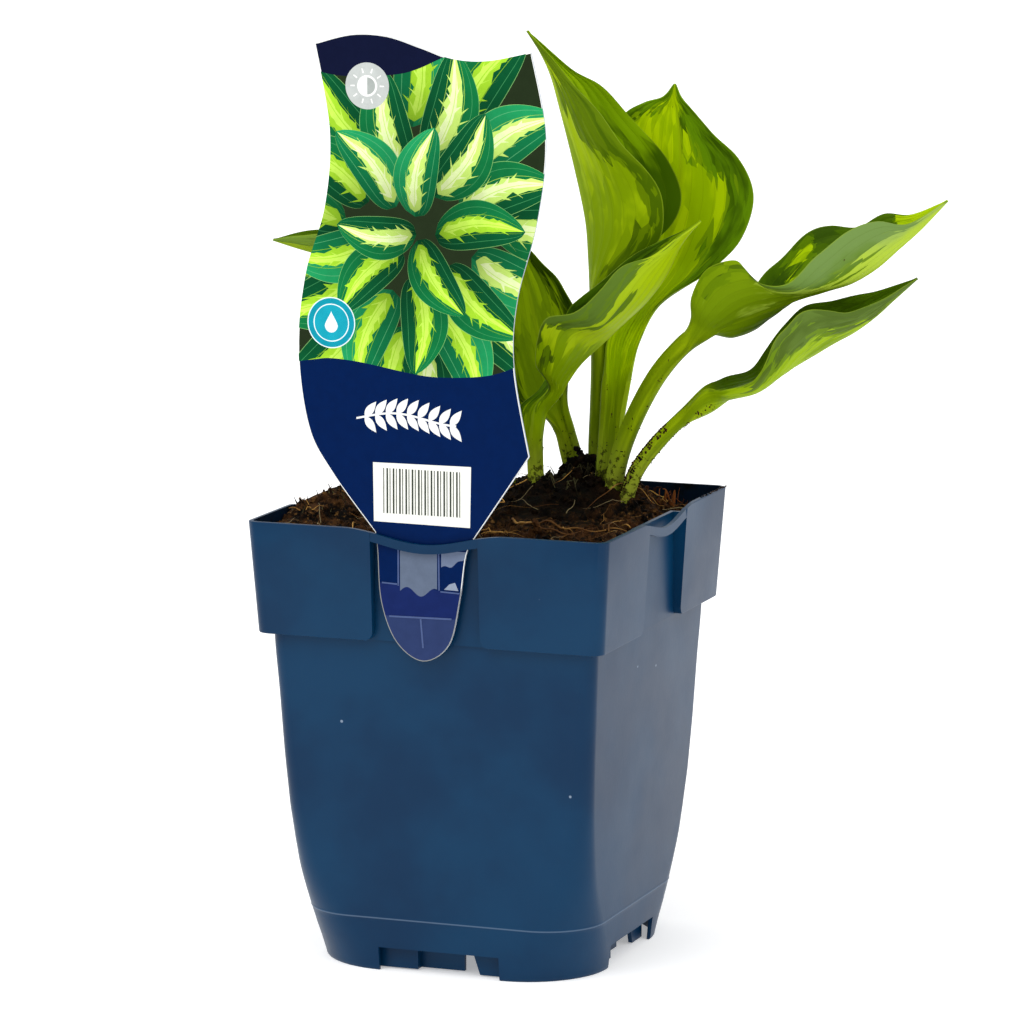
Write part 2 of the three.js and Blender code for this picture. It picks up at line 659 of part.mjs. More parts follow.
function makeLabel() {
  const top = spline([[-31.5, 257.3], [-21, 260], [-10.8, 259.8], [-1, 257], [8, 254.2], [18, 253.9], [30.5, 256.5]], 12);
  const right = spline([[30.5, 256.5], [34.7, 234], [32.2, 211.4], [26.5, 190], [25.6, 172], [30, 148]], 14);
  const tongue = spline([[11.8, 120], [10, 107.7], [6.8, 95], [-0.8, 90.1], [-8.6, 95], [-13, 106], [-14, 120]], 14);
  const left = spline([[-27, 140.5], [-34, 153], [-36.9, 174], [-34.6, 195], [-28.9, 213.4], [-27.3, 234], [-31.5, 257.3]], 14);
  const outline = [...top, ...right.slice(1), [14.6, 125.5], ...tongue, [-14.6, 125], ...left.slice(0, -1)];
  return sheetAlongY(outline.reverse(), -LABEL_FRONT, -LABEL_FRONT + LABEL_THICK);
}

// Assembly

const group = new THREE.Group();
group.name = 'potted_hosta';

function add(name, geometry, colour, roughness) {
  const material = new THREE.MeshStandardMaterial({ color: colour, roughness, metalness: 0 });
  const mesh = new THREE.Mesh(geometry, material);
  mesh.name = name;
  group.add(mesh);
}

add('pot', toGeometry(makePot()), 0x1f3f66, 0.38);
add('soil', toGeometry(makeSoil()), 0x2a1a10, 0.95);
add('crown', toGeometry(makeCrown()), 0x8a8a52, 0.7);
add('label', toGeometry(toManifold(makeLabel())), 0x0a2a5e, 0.3);
const LEAF_COLOURS = {
  leaf_tall: 0x7f9c12,
  leaf_broad: 0x7fa018,
  leaf_front: 0x88a81c,
  leaf_upper_right: 0x789848,
  leaf_lower_right: 0x6f9050,
  leaf_behind_label: 0x5c7a10,
  leaf_left: 0x6f9434,
};
for (const [name, leaf] of Object.entries(LEAVES)) {
  add(name, toGeometry(toManifold(makeLeaf(leaf))), LEAF_COLOURS[name], 0.45);
}

export default group;
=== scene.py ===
# Potted hosta: a square nursery pot, its soil, the plant's crown, seven leaves and a plant label.
import math
import random
import bpy
from mathutils import Matrix, Vector, geometry, noise


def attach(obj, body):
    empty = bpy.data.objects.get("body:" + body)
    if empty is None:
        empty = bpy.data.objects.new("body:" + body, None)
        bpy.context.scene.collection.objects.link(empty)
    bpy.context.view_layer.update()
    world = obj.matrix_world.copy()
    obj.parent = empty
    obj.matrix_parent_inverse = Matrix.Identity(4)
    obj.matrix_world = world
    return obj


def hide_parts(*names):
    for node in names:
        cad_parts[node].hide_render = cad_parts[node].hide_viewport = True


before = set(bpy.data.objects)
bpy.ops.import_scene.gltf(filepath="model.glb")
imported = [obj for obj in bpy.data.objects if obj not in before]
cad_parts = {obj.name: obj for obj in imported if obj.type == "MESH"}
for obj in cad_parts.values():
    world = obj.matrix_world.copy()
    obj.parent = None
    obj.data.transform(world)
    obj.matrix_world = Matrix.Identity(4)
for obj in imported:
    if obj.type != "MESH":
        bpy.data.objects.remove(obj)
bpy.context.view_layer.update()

bpy.ops.object.select_all(action="DESELECT")

# Pot
# One thin-walled injection-moulded polypropylene shell, navy blue: a tapering body, a wider collar with a
# label slot and its bridge strip on each side, a raised floor and a foot skirt with four notches.
MM = 0.001
POT_HEIGHT = 126.0
WALL = 1.2
RIM_HALF = 52.5
COLLAR_FOOT_HALF = 50.5
COLLAR_FOOT = 94.6
COLLAR_CORNER = 3.5
BODY_TOP_HALF = 47.4
# height, half width and corner radius of the body, from its foot to the collar
BODY_ROWS = [
    (0, 41.3, 23.5), (4, 41.7, 22), (9, 42.4, 20), (15, 43, 17), (22, 43.4, 12.8), (28, 43.8, 10),
    (35, 44.2, 8), (45, 44.8, 6), (60, 45.6, 4.8), (78, 46.5, 4.4), (94.6, 47.4, 4),
]
FLOOR_UNDER = 7.0
FLOOR_TOP = 8.5
SLOT_HALF = 15.7
SLOT_FLOOR = 48.3
SLOT_FLARE = 2.7
SLOT_WALL_TOP = 124.0
DIP_HALF = 24.0
DIP_DEPTH = 3.5
STRIP_HEIGHT = 2.5
NOTCH_HALF = 17.8
NOTCH_BACK = 39.6
NOTCH_HEIGHT = 6.7
SKIRT_WALL = 38.3
SKIRT_STEP = 35.5
SKIRT_FOOT = 0.4
SEAM_HEIGHT = 15.2
DRAIN_RADIUS = 4.5
DRAIN_PLACE = 22.0
PAD_RADIUS = 7.0
# how far out and how high the cutting shapes reach
PAST_WALLS = 60.0
ABOVE_RIM = 140.0


def hand_over(piece, slot, *nodes):
    """The piece goes under the root body and stands for these solids, which are hidden; slot is not used."""
    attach(piece, "root")
    if nodes:
        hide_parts(*nodes)


def only(piece):
    """Takes this piece alone in hand."""
    bpy.ops.object.select_all(action="DESELECT")
    piece.select_set(True)
    bpy.context.view_layer.objects.active = piece


def close_ends():
    """Merges the doubled points of the piece in hand, fills its ends and turns its faces outwards."""
    bpy.ops.object.mode_set(mode="EDIT")
    bpy.ops.mesh.select_all(action="SELECT")
    bpy.ops.mesh.remove_doubles(threshold=1e-7)
    bpy.ops.mesh.select_all(action="DESELECT")
    bpy.ops.mesh.select_non_manifold()
    bpy.ops.mesh.fill_holes(sides=0)
    bpy.ops.mesh.select_all(action="SELECT")
    bpy.ops.mesh.normals_make_consistent(inside=False)
    bpy.ops.object.mode_set(mode="OBJECT")


def laid_over(name, rows, columns):
    """A grid whose points are moved onto rows of points in millimetres."""
    bpy.ops.mesh.primitive_grid_add(x_subdivisions=columns, y_subdivisions=len(rows) - 1, size=2)
    piece = bpy.context.object
    piece.name = piece.data.name = name
    for k, point in enumerate(piece.data.vertices):
        i, j = divmod(k, columns + 1)
        point.co = rows[i][j % len(rows[0])] * MM
    return piece


def wrapped(name, rings):
    """A closed body through rings of points, one above the other."""
    piece = laid_over(name, rings, len(rings[0]))
    close_ends()
    return piece


def rounded_square(half, corner, z, steps=14):
    """A ring of points in millimetres, corner by corner."""
    ring = []
    for quarter in range(4):
        sx = 1 if quarter in (0, 3) else -1
        sy = 1 if quarter in (0, 1) else -1
        for i in range(steps + 1):
            a = (quarter + i / steps) * math.pi / 2
            ring.append(Vector((
                sx * (half - corner) + corner * math.cos(a),
                sy * (half - corner) + corner * math.sin(a),
                z,
            )))
    return ring


def through_points(points, t):
    """Uniform spline through points of any size, t from 0 to 1."""
    last = len(points) - 1
    k = min(int(t * last), last - 1)
    w = t * last - k
    out = []
    for a, b, c, d in zip(points[max(0, k - 1)], points[k], points[k + 1], points[min(last, k + 2)]):
        v0, v1 = (c - a) / 2, (d - b) / 2
        out.append((2 * b - 2 * c + v0 + v1) * w ** 3 + (3 * c - 3 * b - 2 * v0 - v1) * w * w + v0 * w + b)
    return out


def thicken(x, y, z):
    """Draws the flat sheet in hand out into a closed body, by millimetres."""
    bpy.ops.object.mode_set(mode="EDIT")
    bpy.ops.mesh.select_all(action="SELECT")
    bpy.ops.mesh.delete_loose()
    bpy.ops.mesh.select_all(action="SELECT")
    bpy.ops.mesh.extrude_region_move(TRANSFORM_OT_translate={"value": (x * MM, y * MM, z * MM)})
    bpy.ops.mesh.select_all(action="SELECT")
    bpy.ops.mesh.normals_make_consistent(inside=False)
    bpy.ops.object.mode_set(mode="OBJECT")


def flat_plate(outline, y0, y1):
    """A flat outline in x and z with thickness along y."""
    bpy.ops.mesh.primitive_circle_add(vertices=len(outline), radius=1, fill_type="NGON")
    plate = bpy.context.object
    for point, (x, z) in zip(plate.data.vertices, outline):
        point.co = (x * MM, y0 * MM, z * MM)
    thicken(0, y1 - y0, 0)
    return plate


def block(x0, x1, y0, y1, z0, z1):
    return flat_plate([(x0, z0), (x1, z0), (x1, z1), (x0, z1)], y0, y1)


def upright_rod(x, y, z, radius, tall, sides):
    bpy.ops.mesh.primitive_cylinder_add(
        vertices=sides, radius=radius * MM, depth=tall * MM, location=(x * MM, y * MM, z * MM))
    bpy.ops.object.transform_apply(location=True, rotation=True, scale=True)
    return bpy.context.object


def on_four_sides(piece):
    """Repeats a piece on each side of the pot, as one mesh."""
    copies = [piece]
    for quarter in range(1, 4):
        copy = piece.copy()
        copy.data = piece.data.copy()
        copy.data.transform(Matrix.Rotation(quarter * math.pi / 2, 4, "Z"))
        bpy.context.collection.objects.link(copy)
        copies.append(copy)
    only(piece)
    for copy in copies:
        copy.select_set(True)
    bpy.ops.object.join()
    return piece


def combine(piece, tool, operation):
    """Adds the tool to the piece or cuts it away, and takes the tool off."""
    only(piece)
    work = piece.modifiers.new("work", "BOOLEAN")
    work.operation = operation
    work.solver = "EXACT"
    work.object = tool
    bpy.ops.object.modifier_apply(modifier=work.name)
    bpy.data.objects.remove(tool)


def collar_half(z):
    return COLLAR_FOOT_HALF + (z - COLLAR_FOOT) / (POT_HEIGHT - COLLAR_FOOT) * (RIM_HALF - COLLAR_FOOT_HALF)


def rim_dip(x):
    return DIP_DEPTH * (0.5 + 0.5 * math.cos(math.pi * min(1.0, abs(x) / DIP_HALF)))


def body_ring(z, inset=0.0, bump=0.0):
    """The body's outline at a height, drawn in by inset or raised by bump."""
    for low, high in zip(BODY_ROWS, BODY_ROWS[1:]):
        if z <= high[0]:
            break
    w = (z - low[0]) / (high[0] - low[0])
    k = BODY_ROWS.index(low)
    half, corner = through_points([row[1:] for row in BODY_ROWS], (k + w) / (len(BODY_ROWS) - 1))
    return rounded_square(half - inset + bump, max(corner - inset, 1) + bump, z)


def evenly(start, stop, count):
    return [start + (stop - start) * i / count for i in range(count + 1)]


# the outside of the body, with the fine raised seam of the mould all round near the foot
outside = [body_ring(0.0, 0.35), body_ring(0.35, 0.06)]
for z in sorted(evenly(1.2, COLLAR_FOOT, 44) + [SEAM_HEIGHT - 0.25, SEAM_HEIGHT, SEAM_HEIGHT + 0.25]):
    raised = 0.14 if abs(z - SEAM_HEIGHT) < 0.01 else 0.0
    outside.append(body_ring(z, bump=raised))
outside.append(rounded_square(BODY_TOP_HALF, 4, COLLAR_FOOT + 2))
pot = wrapped("nursery_pot", outside)

# the collar, its foot and its rim a little rounded
collar_rings = [rounded_square(half, COLLAR_CORNER, z) for half, z in (
    (COLLAR_FOOT_HALF - 0.45, COLLAR_FOOT), (COLLAR_FOOT_HALF - 0.1, COLLAR_FOOT + 0.12),
    (COLLAR_FOOT_HALF + 0.02, COLLAR_FOOT + 0.45), (collar_half(110), 110),
    (RIM_HALF, POT_HEIGHT - 0.3), (RIM_HALF - 0.08, POT_HEIGHT - 0.1), (RIM_HALF - 0.3, POT_HEIGHT))]
combine(pot, wrapped("collar", collar_rings), "UNION")

# the hollow of the body, that of the collar between the walls of its slots, and the hollow under the floor
inside = [rounded_square(42.3 - WALL, 19, FLOOR_TOP)]
inside += [body_ring(z, WALL) for z in evenly(9.5, COLLAR_FOOT, 30)]
inside.append(rounded_square(BODY_TOP_HALF - WALL, 2.8, COLLAR_FOOT + WALL + 1))
combine(pot, wrapped("inside", inside), "DIFFERENCE")
mouth_rings = [
    rounded_square(collar_half(z) - WALL, COLLAR_CORNER - 1, z) for z in (COLLAR_FOOT + WALL, 110, ABOVE_RIM)
]
mouth = wrapped("mouth", mouth_rings)
slot_wall = block(
    -SLOT_HALF - WALL, SLOT_HALF + WALL, -PAST_WALLS, -SLOT_FLOOR + WALL, COLLAR_FOOT - 4, SLOT_WALL_TOP)
combine(mouth, on_four_sides(slot_wall), "DIFFERENCE")
combine(pot, mouth, "DIFFERENCE")
under = wrapped("under", [rounded_square(40.1, 22.3, -1), rounded_square(40.8, 19.8, FLOOR_UNDER)])
combine(pot, under, "DIFFERENCE")

# label slot: a recess behind the collar's front, flared at the foot, and the rim's dip above it
flare = []
for a in evenly(0, math.pi / 2, 8):
    flare.append((
        SLOT_HALF + SLOT_FLARE * (1 - math.cos(a)),
        COLLAR_FOOT + SLOT_FLARE * (1 - math.sin(a)),
    ))
right_edge = [(SLOT_HALF, POT_HEIGHT + 4)] + flare + [(SLOT_HALF + SLOT_FLARE, COLLAR_FOOT - 1)]
left_edge = [(-x, z) for x, z in reversed(right_edge)]
combine(pot, on_four_sides(flat_plate(left_edge + right_edge, -PAST_WALLS, -SLOT_FLOOR)), "DIFFERENCE")
dip = [(x, POT_HEIGHT - rim_dip(x)) for x in evenly(DIP_HALF, -DIP_HALF, 48)]
above = [(-DIP_HALF, ABOVE_RIM), (DIP_HALF, ABOVE_RIM)]
combine(pot, on_four_sides(flat_plate(above + dip, -PAST_WALLS, -SLOT_FLOOR - 0.01)), "DIFFERENCE")
notch = block(-NOTCH_HALF, NOTCH_HALF, -PAST_WALLS, -NOTCH_BACK, -1, NOTCH_HEIGHT)
combine(pot, on_four_sides(notch), "DIFFERENCE")

# bridge strip across the slot, and the short walls behind the notches
strip_half = SLOT_HALF + 0.6
strip_top = [(x, POT_HEIGHT - rim_dip(x)) for x in evenly(strip_half, -strip_half, 36)]
strip_outline = strip_top + [(x, z - STRIP_HEIGHT) for x, z in reversed(strip_top)]
strip_front = collar_half(POT_HEIGHT - DIP_DEPTH)
combine(pot, on_four_sides(flat_plate(strip_outline, -strip_front, -strip_front + WALL)), "UNION")
wall_top = FLOOR_UNDER + 0.5
for x0, x1, y0, y1 in (
    (-18.8, -7.4, -SKIRT_WALL, -SKIRT_WALL + WALL), (-8.6, 5.4, -SKIRT_STEP, -SKIRT_STEP + WALL),
    (-8.6, -7.4, -SKIRT_WALL, -SKIRT_STEP + WALL),
):
    combine(pot, on_four_sides(block(x0, x1, y0, y1, SKIRT_FOOT, wall_top)), "UNION")
slanted = [(11, SKIRT_FOOT), (19, SKIRT_FOOT), (19, wall_top), (8.6, wall_top)]
combine(pot, on_four_sides(flat_plate(slanted, -SKIRT_WALL, -SKIRT_WALL + WALL)), "UNION")

# drain holes in the floor and the pad under its middle
for sx, sy in ((1, 1), (-1, 1), (-1, -1), (1, -1)):
    drain = upright_rod(sx * DRAIN_PLACE, sy * DRAIN_PLACE, FLOOR_TOP, DRAIN_RADIUS, 6, 32)
    combine(pot, drain, "DIFFERENCE")
combine(pot, upright_rod(0, 0, wall_top / 2, PAD_RADIUS, wall_top, 48), "UNION")
only(pot)
pot.name = pot.data.name = "nursery_pot"
bpy.ops.object.shade_smooth_by_angle(angle=math.radians(32))


def tone(code):
    """A screen colour such as 1f3f60 as the shader's linear colour."""
    values = [int(code[i:i + 2], 16) / 255 for i in (0, 2, 4)]
    return tuple(v / 12.92 if v < 0.04045 else ((v + 0.055) / 1.055) ** 2.4 for v in values) + (1.0,)


class Finish:
    """A material built up node by node on one Principled shader. Colours are given as screen codes."""

    def __init__(self, name, roughness=0.5, specular=0.5):
        self.material = bpy.data.materials.new(name)
        self.material.use_nodes = True
        self.tree = self.material.node_tree
        self.shader = self.tree.nodes["Principled BSDF"]
        self.shader.inputs["Roughness"].default_value = roughness
        self.shader.inputs["Specular IOR Level"].default_value = specular

    def feed(self, socket, value):
        """Links the socket to another node's output, or sets it to a number or a colour."""
        if isinstance(value, bpy.types.NodeSocket):
            self.tree.links.new(value, socket)
        else:
            socket.default_value = tone(value) if isinstance(value, str) else value

    def node(self, kind, inputs=(), **settings):
        made = self.tree.nodes.new(kind)
        for key, value in settings.items():
            setattr(made, key, value)
        for key, value in dict(inputs).items():
            self.feed(made.inputs[key], value)
        return made

    def math(self, operation, a, b=0.0, clamp=False):
        return self.node("ShaderNodeMath", {0: a, 1: b}, operation=operation, use_clamp=clamp).outputs[0]

    def times(self, a, b):
        return self.math("MULTIPLY", a, b)

    def plus(self, a, b):
        return self.math("ADD", a, b)

    def place(self):
        return self.node("ShaderNodeTexCoord").outputs["Object"]

    def parts(self, vector):
        """The three numbers of a place or of a colour."""
        return self.node("ShaderNodeSeparateXYZ", {0: vector}).outputs

    def grain(self, place, scale, detail=3.0, roughness=0.5):
        return self.node("ShaderNodeTexNoise", {
            "Vector": place, "Scale": scale, "Detail": detail, "Roughness": roughness}).outputs["Fac"]

    def ramp(self, value, low, high):
        """0 below low and 1 above high, smoothly."""
        return self.node("ShaderNodeMapRange", {"Value": value, "From Min": low, "From Max": high},
                         interpolation_type="SMOOTHSTEP").outputs["Result"]

    def blend(self, factor, a, b):
        return self.node("ShaderNodeMix", {0: factor, 6: a, 7: b}, data_type="RGBA").outputs[2]

    def flecks(self, place, scale, size, channel, limit, strength):
        """Round flecks in the few cells whose random number is over the limit."""
        cells = self.node("ShaderNodeTexVoronoi", {"Vector": place, "Scale": scale})
        chosen = self.math("GREATER_THAN", self.parts(cells.outputs["Color"])[channel], limit)
        return self.times(self.times(self.ramp(cells.outputs["Distance"], *size), chosen), strength)

    def colour(self, value):
        self.feed(self.shader.inputs["Base Color"], value)

    def rough(self, value):
        self.feed(self.shader.inputs["Roughness"], value)

    def relief(self, height, depth, strength=1.0):
        bump = self.node("ShaderNodeBump", {"Height": height, "Distance": depth, "Strength": strength})
        self.feed(self.shader.inputs["Normal"], bump.outputs["Normal"])


def dress(piece, *finishes):
    """Gives the piece these finishes in place of any it had."""
    piece.data.materials.clear()
    for finish in finishes:
        piece.data.materials.append(finish.material)


# faintly clouded navy, a pale painted highlight along the seam, and a few light specks
moulded = Finish("navy_polypropylene", roughness=0.32, specular=0.15)
at = moulded.place()
navy = moulded.blend(moulded.ramp(moulded.grain(at, 22.0, 4.0, 0.55), 0.35, 0.65), "002949", "023354")
# painted highlight: a pale line along the raised seam
from_seam = moulded.math("ABSOLUTE", moulded.math("SUBTRACT", moulded.parts(at)["Z"], SEAM_HEIGHT * MM))
navy = moulded.blend(moulded.times(moulded.ramp(from_seam, 0.0003, 0.0001), 0.3), navy, "7d93ad")
navy = moulded.blend(moulded.flecks(at, 150.0, (0.075, 0.045), "X", 0.965, 0.55), navy, "9fb0c4")
moulded.colour(navy)
moulded.rough(moulded.plus(moulded.times(moulded.grain(at, 60.0, 5.0, 0.6), 0.16), 0.26))
moulded.relief(moulded.grain(at, 900.0, 2.0), 0.00003, 0.5)

# the inner face above the soil is painted a darker navy as shade, and is dull and smeared with peat
shaded_grimy = Finish("shaded_peat_stained_inside", roughness=0.7, specular=0.03)
smear = shaded_grimy.ramp(shaded_grimy.grain(shaded_grimy.place(), 130.0, 4.0, 0.6), 0.48, 0.7)
shaded_grimy.colour(shaded_grimy.blend(smear, "06182c", "0b0a09"))
dress(pot, moulded, shaded_grimy)
# inward faces above the floor get the finish with painted shade and peat smears
for face in pot.data.polygons:
    x, y, z = face.center / MM
    half = max(abs(x), abs(y))
    inward = face.normal.x * x + face.normal.y * y < -0.5 * half
    if inward and z > FLOOR_TOP and half < (47.6 if min(abs(x), abs(y)) < SLOT_HALF else 51.6):
        face.material_index = 1
hand_over(pot, "pot", "pot")

# Soil
# Dark peat with coir and bark, poured into the pot and mounded round the plant: one lumpy body up to the
# walls, with loose crumbs, coir fibres and pale fine roots lying on it.
SOIL_LEVEL = 121.5
PLANT_TURN = math.radians(20.5)
COS_TURN = math.cos(PLANT_TURN)
SIN_TURN = math.sin(PLANT_TURN)


def soil_height(x, y):
    """The soil without its crumbs: mounded round the plant, with a clod at the left, low at the far right."""
    u = x * COS_TURN + y * SIN_TURN
    v = y * COS_TURN - x * SIN_TURN
    du = max(0.0, abs(u - 23) - 10)
    dv = v - 20
    mound = 8 * math.exp(-(du * du + dv * dv) / 288)
    left = 3.2 * math.exp(-((x + 44) ** 2) / 160 - y * y / 1500)
    lumps = 0.6 * math.sin(0.31 * x + 1.3 * math.sin(0.17 * y)) * math.cos(0.27 * y - 0.4)
    beside = max(0.0, abs(y + 9) - 12)
    clod = 4.4 * math.exp(-((x + 43) ** 2) / 90 - beside * beside / 40)
    dip = 5 * math.exp(-((x - 44) ** 2) / 220 - ((y - 44) ** 2) / 330)
    return SOIL_LEVEL + mound + left + clod - dip + lumps + 0.35 * math.sin(0.63 * x - 0.5 * y)


def crumbly(x, y):
    """Height of the finished peat: soft clods, lumps, small pits and a fine crumb over the mound."""
    clods = noise.noise(Vector((x * 0.16, y * 0.16, 3.1)))
    lumps = noise.noise(Vector((x * 0.42, y * 0.42, 7.7)))
    pits = noise.cell(Vector((x * 0.55, y * 0.55, 1.3)))
    fine = noise.noise(Vector((x * 1.25, y * 1.25, 0.4)))
    edge = max(0.0, min(1.0, (abs(x) - 43.5) / 3.3 if abs(y) < 18 else (abs(x) - 47.4) / 3.3))
    top = soil_height(x, y)
    top -= edge * max(0.0, top - 124.6)
    return top + 2.2 * clods + 2.3 * lumps + 0.5 * (pits - 0.5) + 1.2 * fine


SOIL_CELLS = 210
SOIL_HALF = 50.7
SOIL_CORNER = 2.2
# the soil stops short behind each slot, between the slot's side walls
SOIL_BEHIND_SLOT = 46.8
SLOT_SIDE = 17.3
DRAWN_IN_FROM = 40


def drawn_in(far):
    """How much a point this far out is drawn in where the soil stops short behind a slot."""
    return (abs(far) - DRAWN_IN_FROM) / (SOIL_HALF - DRAWN_IN_FROM) * (SOIL_HALF - SOIL_BEHIND_SLOT)


def soil_edge(x, y):
    """Moves a point of the square patch inside the pot's walls, slot recesses and rounded corners."""
    if abs(x) < SLOT_SIDE and abs(y) > DRAWN_IN_FROM:
        y -= math.copysign(drawn_in(y), y)
    if abs(y) < SLOT_SIDE and abs(x) > DRAWN_IN_FROM:
        x -= math.copysign(drawn_in(x), x)
    straight = SOIL_HALF - SOIL_CORNER
    dx, dy = abs(x) - straight, abs(y) - straight
    if dx > 0 and dy > 0 and math.hypot(dx, dy) > SOIL_CORNER:
        pull = SOIL_CORNER / math.hypot(dx, dy)
        x = math.copysign(straight + dx * pull, x)
        y = math.copysign(straight + dy * pull, y)
    return x, y


steps = evenly(-SOIL_HALF, SOIL_HALF, SOIL_CELLS)
soil_rows = []
for away in steps:
    places = [soil_edge(x, away) for x in steps]
    soil_rows.append([Vector((x, y, crumbly(x, y))) for x, y in places])
peat = laid_over("peat_surface", soil_rows, SOIL_CELLS)
# how far each point lies below the smooth soil, for painted shade in the hollows
hollow_shade = peat.data.attributes.new("hollow_shade", "FLOAT", "POINT")
for k, point in enumerate(peat.data.vertices):
    x, y, z = point.co / MM
    hollow_shade.data[k].value = max(0.0, min(1.0, 0.45 + (soil_height(x, y) - z) / 2.4))
thicken(0, 0, -6)
bpy.ops.object.shade_smooth()

# brown and crumbly toward the walls, painted darker in the hollows as shade, and painted nearly black round
# the foot of the plant as the shade under its leaves
earth = Finish("peat", roughness=0.75, specular=0.06)
at = earth.place()
brown = earth.blend(earth.ramp(earth.grain(at, 260.0, 4.0, 0.7), 0.42, 0.6), "070403", "462c15")
brown = earth.blend(earth.ramp(earth.grain(at, 620.0, 3.0, 0.7), 0.56, 0.7), brown, "76542c")
bark = earth.times(earth.ramp(earth.grain(at, 55.0, 2.0, 0.5), 0.5, 0.68), 0.6)
brown = earth.blend(bark, brown, "472a13")
# painted shade: darker in the hollows of the peat
hollow_shade_mask = earth.node("ShaderNodeAttribute", attribute_name="hollow_shade").outputs["Fac"]
brown = earth.blend(earth.times(hollow_shade_mask, 0.85), brown, "080403")
# painted shade: nearly black round the foot of the plant, under its leaves
from_plant = earth.node("ShaderNodeVectorMath", {0: at, 1: (0.006, 0.022, 0.124)}, operation="DISTANCE")
patchy = earth.times(earth.grain(at, 75.0, 3.0, 0.6), 0.026)
shade_under_leaves = earth.ramp(earth.plus(from_plant.outputs["Value"], patchy), 0.054, 0.030)
earth.colour(earth.blend(earth.times(shade_under_leaves, 0.88), brown, "030201"))
earth.relief(earth.grain(at, 1100.0, 5.0, 0.7), 0.0007, 0.9)
dress(peat, earth)
hand_over(peat, "soil")
dress(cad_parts["soil"], earth)


def put_in(name, data):
    piece = bpy.data.objects.new(name, data)
    bpy.context.collection.objects.link(piece)
    return piece


def strewn(name, shapes, places):
    """One mesh of many copies: each place gives which shape, where, how large and how it is turned."""
    points, faces = [], []
    for kind, where, size, turn in places:
        own_points, own_faces = shapes[kind]
        start = len(points)
        turned = Matrix.LocRotScale(where, turn, size)
        points += [(turned @ p) * MM for p in own_points]
        faces += [tuple(start + k for k in face) for face in own_faces]
    mesh = bpy.data.meshes.new(name)
    mesh.from_pydata(points, [], faces)
    return put_in(name, mesh)


def crumb_shape(fineness, seed):
    """A lumpy round shape: fineness 1 has 20 faces, 2 has 35 and 3 has 320."""
    if fineness == 2:
        bpy.ops.mesh.primitive_uv_sphere_add(segments=7, ring_count=5, radius=1)
    else:
        bpy.ops.mesh.primitive_ico_sphere_add(subdivisions=fineness, radius=1)
    lump = bpy.context.object
    points = []
    for v in lump.data.vertices:
        push = 0.75 + 0.55 * noise.noise(v.co * 1.4 + Vector((seed * 7.3, seed, 0)))
        points.append(v.co * push)
    faces = [tuple(p.vertices) for p in lump.data.polygons]
    bpy.data.objects.remove(lump)
    return points, faces


def inside_walls(x, y):
    return max(abs(x), abs(y)) < (45.6 if min(abs(x), abs(y)) < 18 else 49.6)


dice = random.Random(11)


def any_turn():
    angle = dice.uniform(0, 6.28)
    axis = Vector((dice.uniform(-1, 1), dice.uniform(-1, 1), dice.uniform(-1, 1) + 0.01))
    return Matrix.Rotation(angle, 3, axis.normalized()).to_quaternion()


# shapes 0 to 4 are crumbs, 5 to 9 small grains and 10 to 13 the larger clods
crumb_shapes = []
for fineness, count in ((2, 5), (1, 5), (3, 4)):
    crumb_shapes += [crumb_shape(fineness, k) for k in range(count)]
CRUMB_COUNT = 2300
CLOD_COUNT = 70
CLUMP_COUNT = 430
# crumbs and grains all over the peat, then the clods
crumb_places = []
while len(crumb_places) < CRUMB_COUNT:
    x, y = dice.uniform(-50, 50), dice.uniform(-50, 50)
    if not inside_walls(x, y):
        continue
    large = dice.random() < 0.22
    size = dice.uniform(0.8, 2.3) if large else dice.uniform(0.28, 0.85)
    kind = dice.randrange(5) + (0 if large else 5)
    lift = crumbly(x, y) + size * dice.uniform(0.0, 0.5)
    stretch = Vector((size, size * dice.uniform(0.6, 1), size * dice.uniform(0.5, 0.9)))
    crumb_places.append((kind, Vector((x, y, lift)), stretch, any_turn()))
while len(crumb_places) < CRUMB_COUNT + CLOD_COUNT:
    x, y = dice.uniform(-47, 47), dice.uniform(-47, 47)
    size = dice.uniform(1.8, 3.6)
    if inside_walls(x * 1.07, y * 1.07):
        spot = Vector((x, y, crumbly(x, y) - 0.25 * size))
        stretch = Vector((size, size * dice.uniform(0.6, 0.9), size * dice.uniform(0.45, 0.7)))
        crumb_places.append((10 + dice.randrange(4), spot, stretch, any_turn()))


def plant_point(u, v, z):
    """A point given in the plant's own directions, which are turned against the pot's."""
    return Vector((u * COS_TURN - v * SIN_TURN, u * SIN_TURN + v * COS_TURN, z))


# a clump of old sheaths and peat between the feet of the stalks, dark with the painted shade round the foot
# of the plant
for k in range(CLUMP_COUNT):
    u, v = dice.gauss(25, 6), dice.gauss(27, 4.5)
    spot = plant_point(u, v, 0)
    heap = math.exp(-((u - 25.5) ** 2 + (v - 28.5) ** 2) / 45)
    size = dice.uniform(0.4, 1.1 + heap)
    spot.z = crumbly(spot.x, spot.y) + dice.uniform(0, 8.2) * heap
    crumb_places.append((dice.randrange(10), spot, Vector((size, size * 0.8, size * 0.8)), any_turn()))
crumbs = strewn("peat_crumbs", crumb_shapes, crumb_places)
dress(crumbs, earth)
hand_over(crumbs, "soil")


def strands(name, runs):
    """Thin round strands along lists of (point, radius) in millimetres, as one mesh."""
    curve = bpy.data.curves.new(name, "CURVE")
    curve.dimensions = "3D"
    curve.bevel_depth = MM
    curve.bevel_resolution = 1
    curve.use_fill_caps = True
    for run in runs:
        line = curve.splines.new("POLY")
        line.points.add(len(run) - 1)
        for knot, (where, radius) in zip(line.points, run):
            knot.co = (*(where * MM), 1)
            knot.radius = radius
    only(put_in(name, curve))
    bpy.ops.object.convert(target="MESH")
    bpy.ops.object.shade_smooth()
    return bpy.context.object


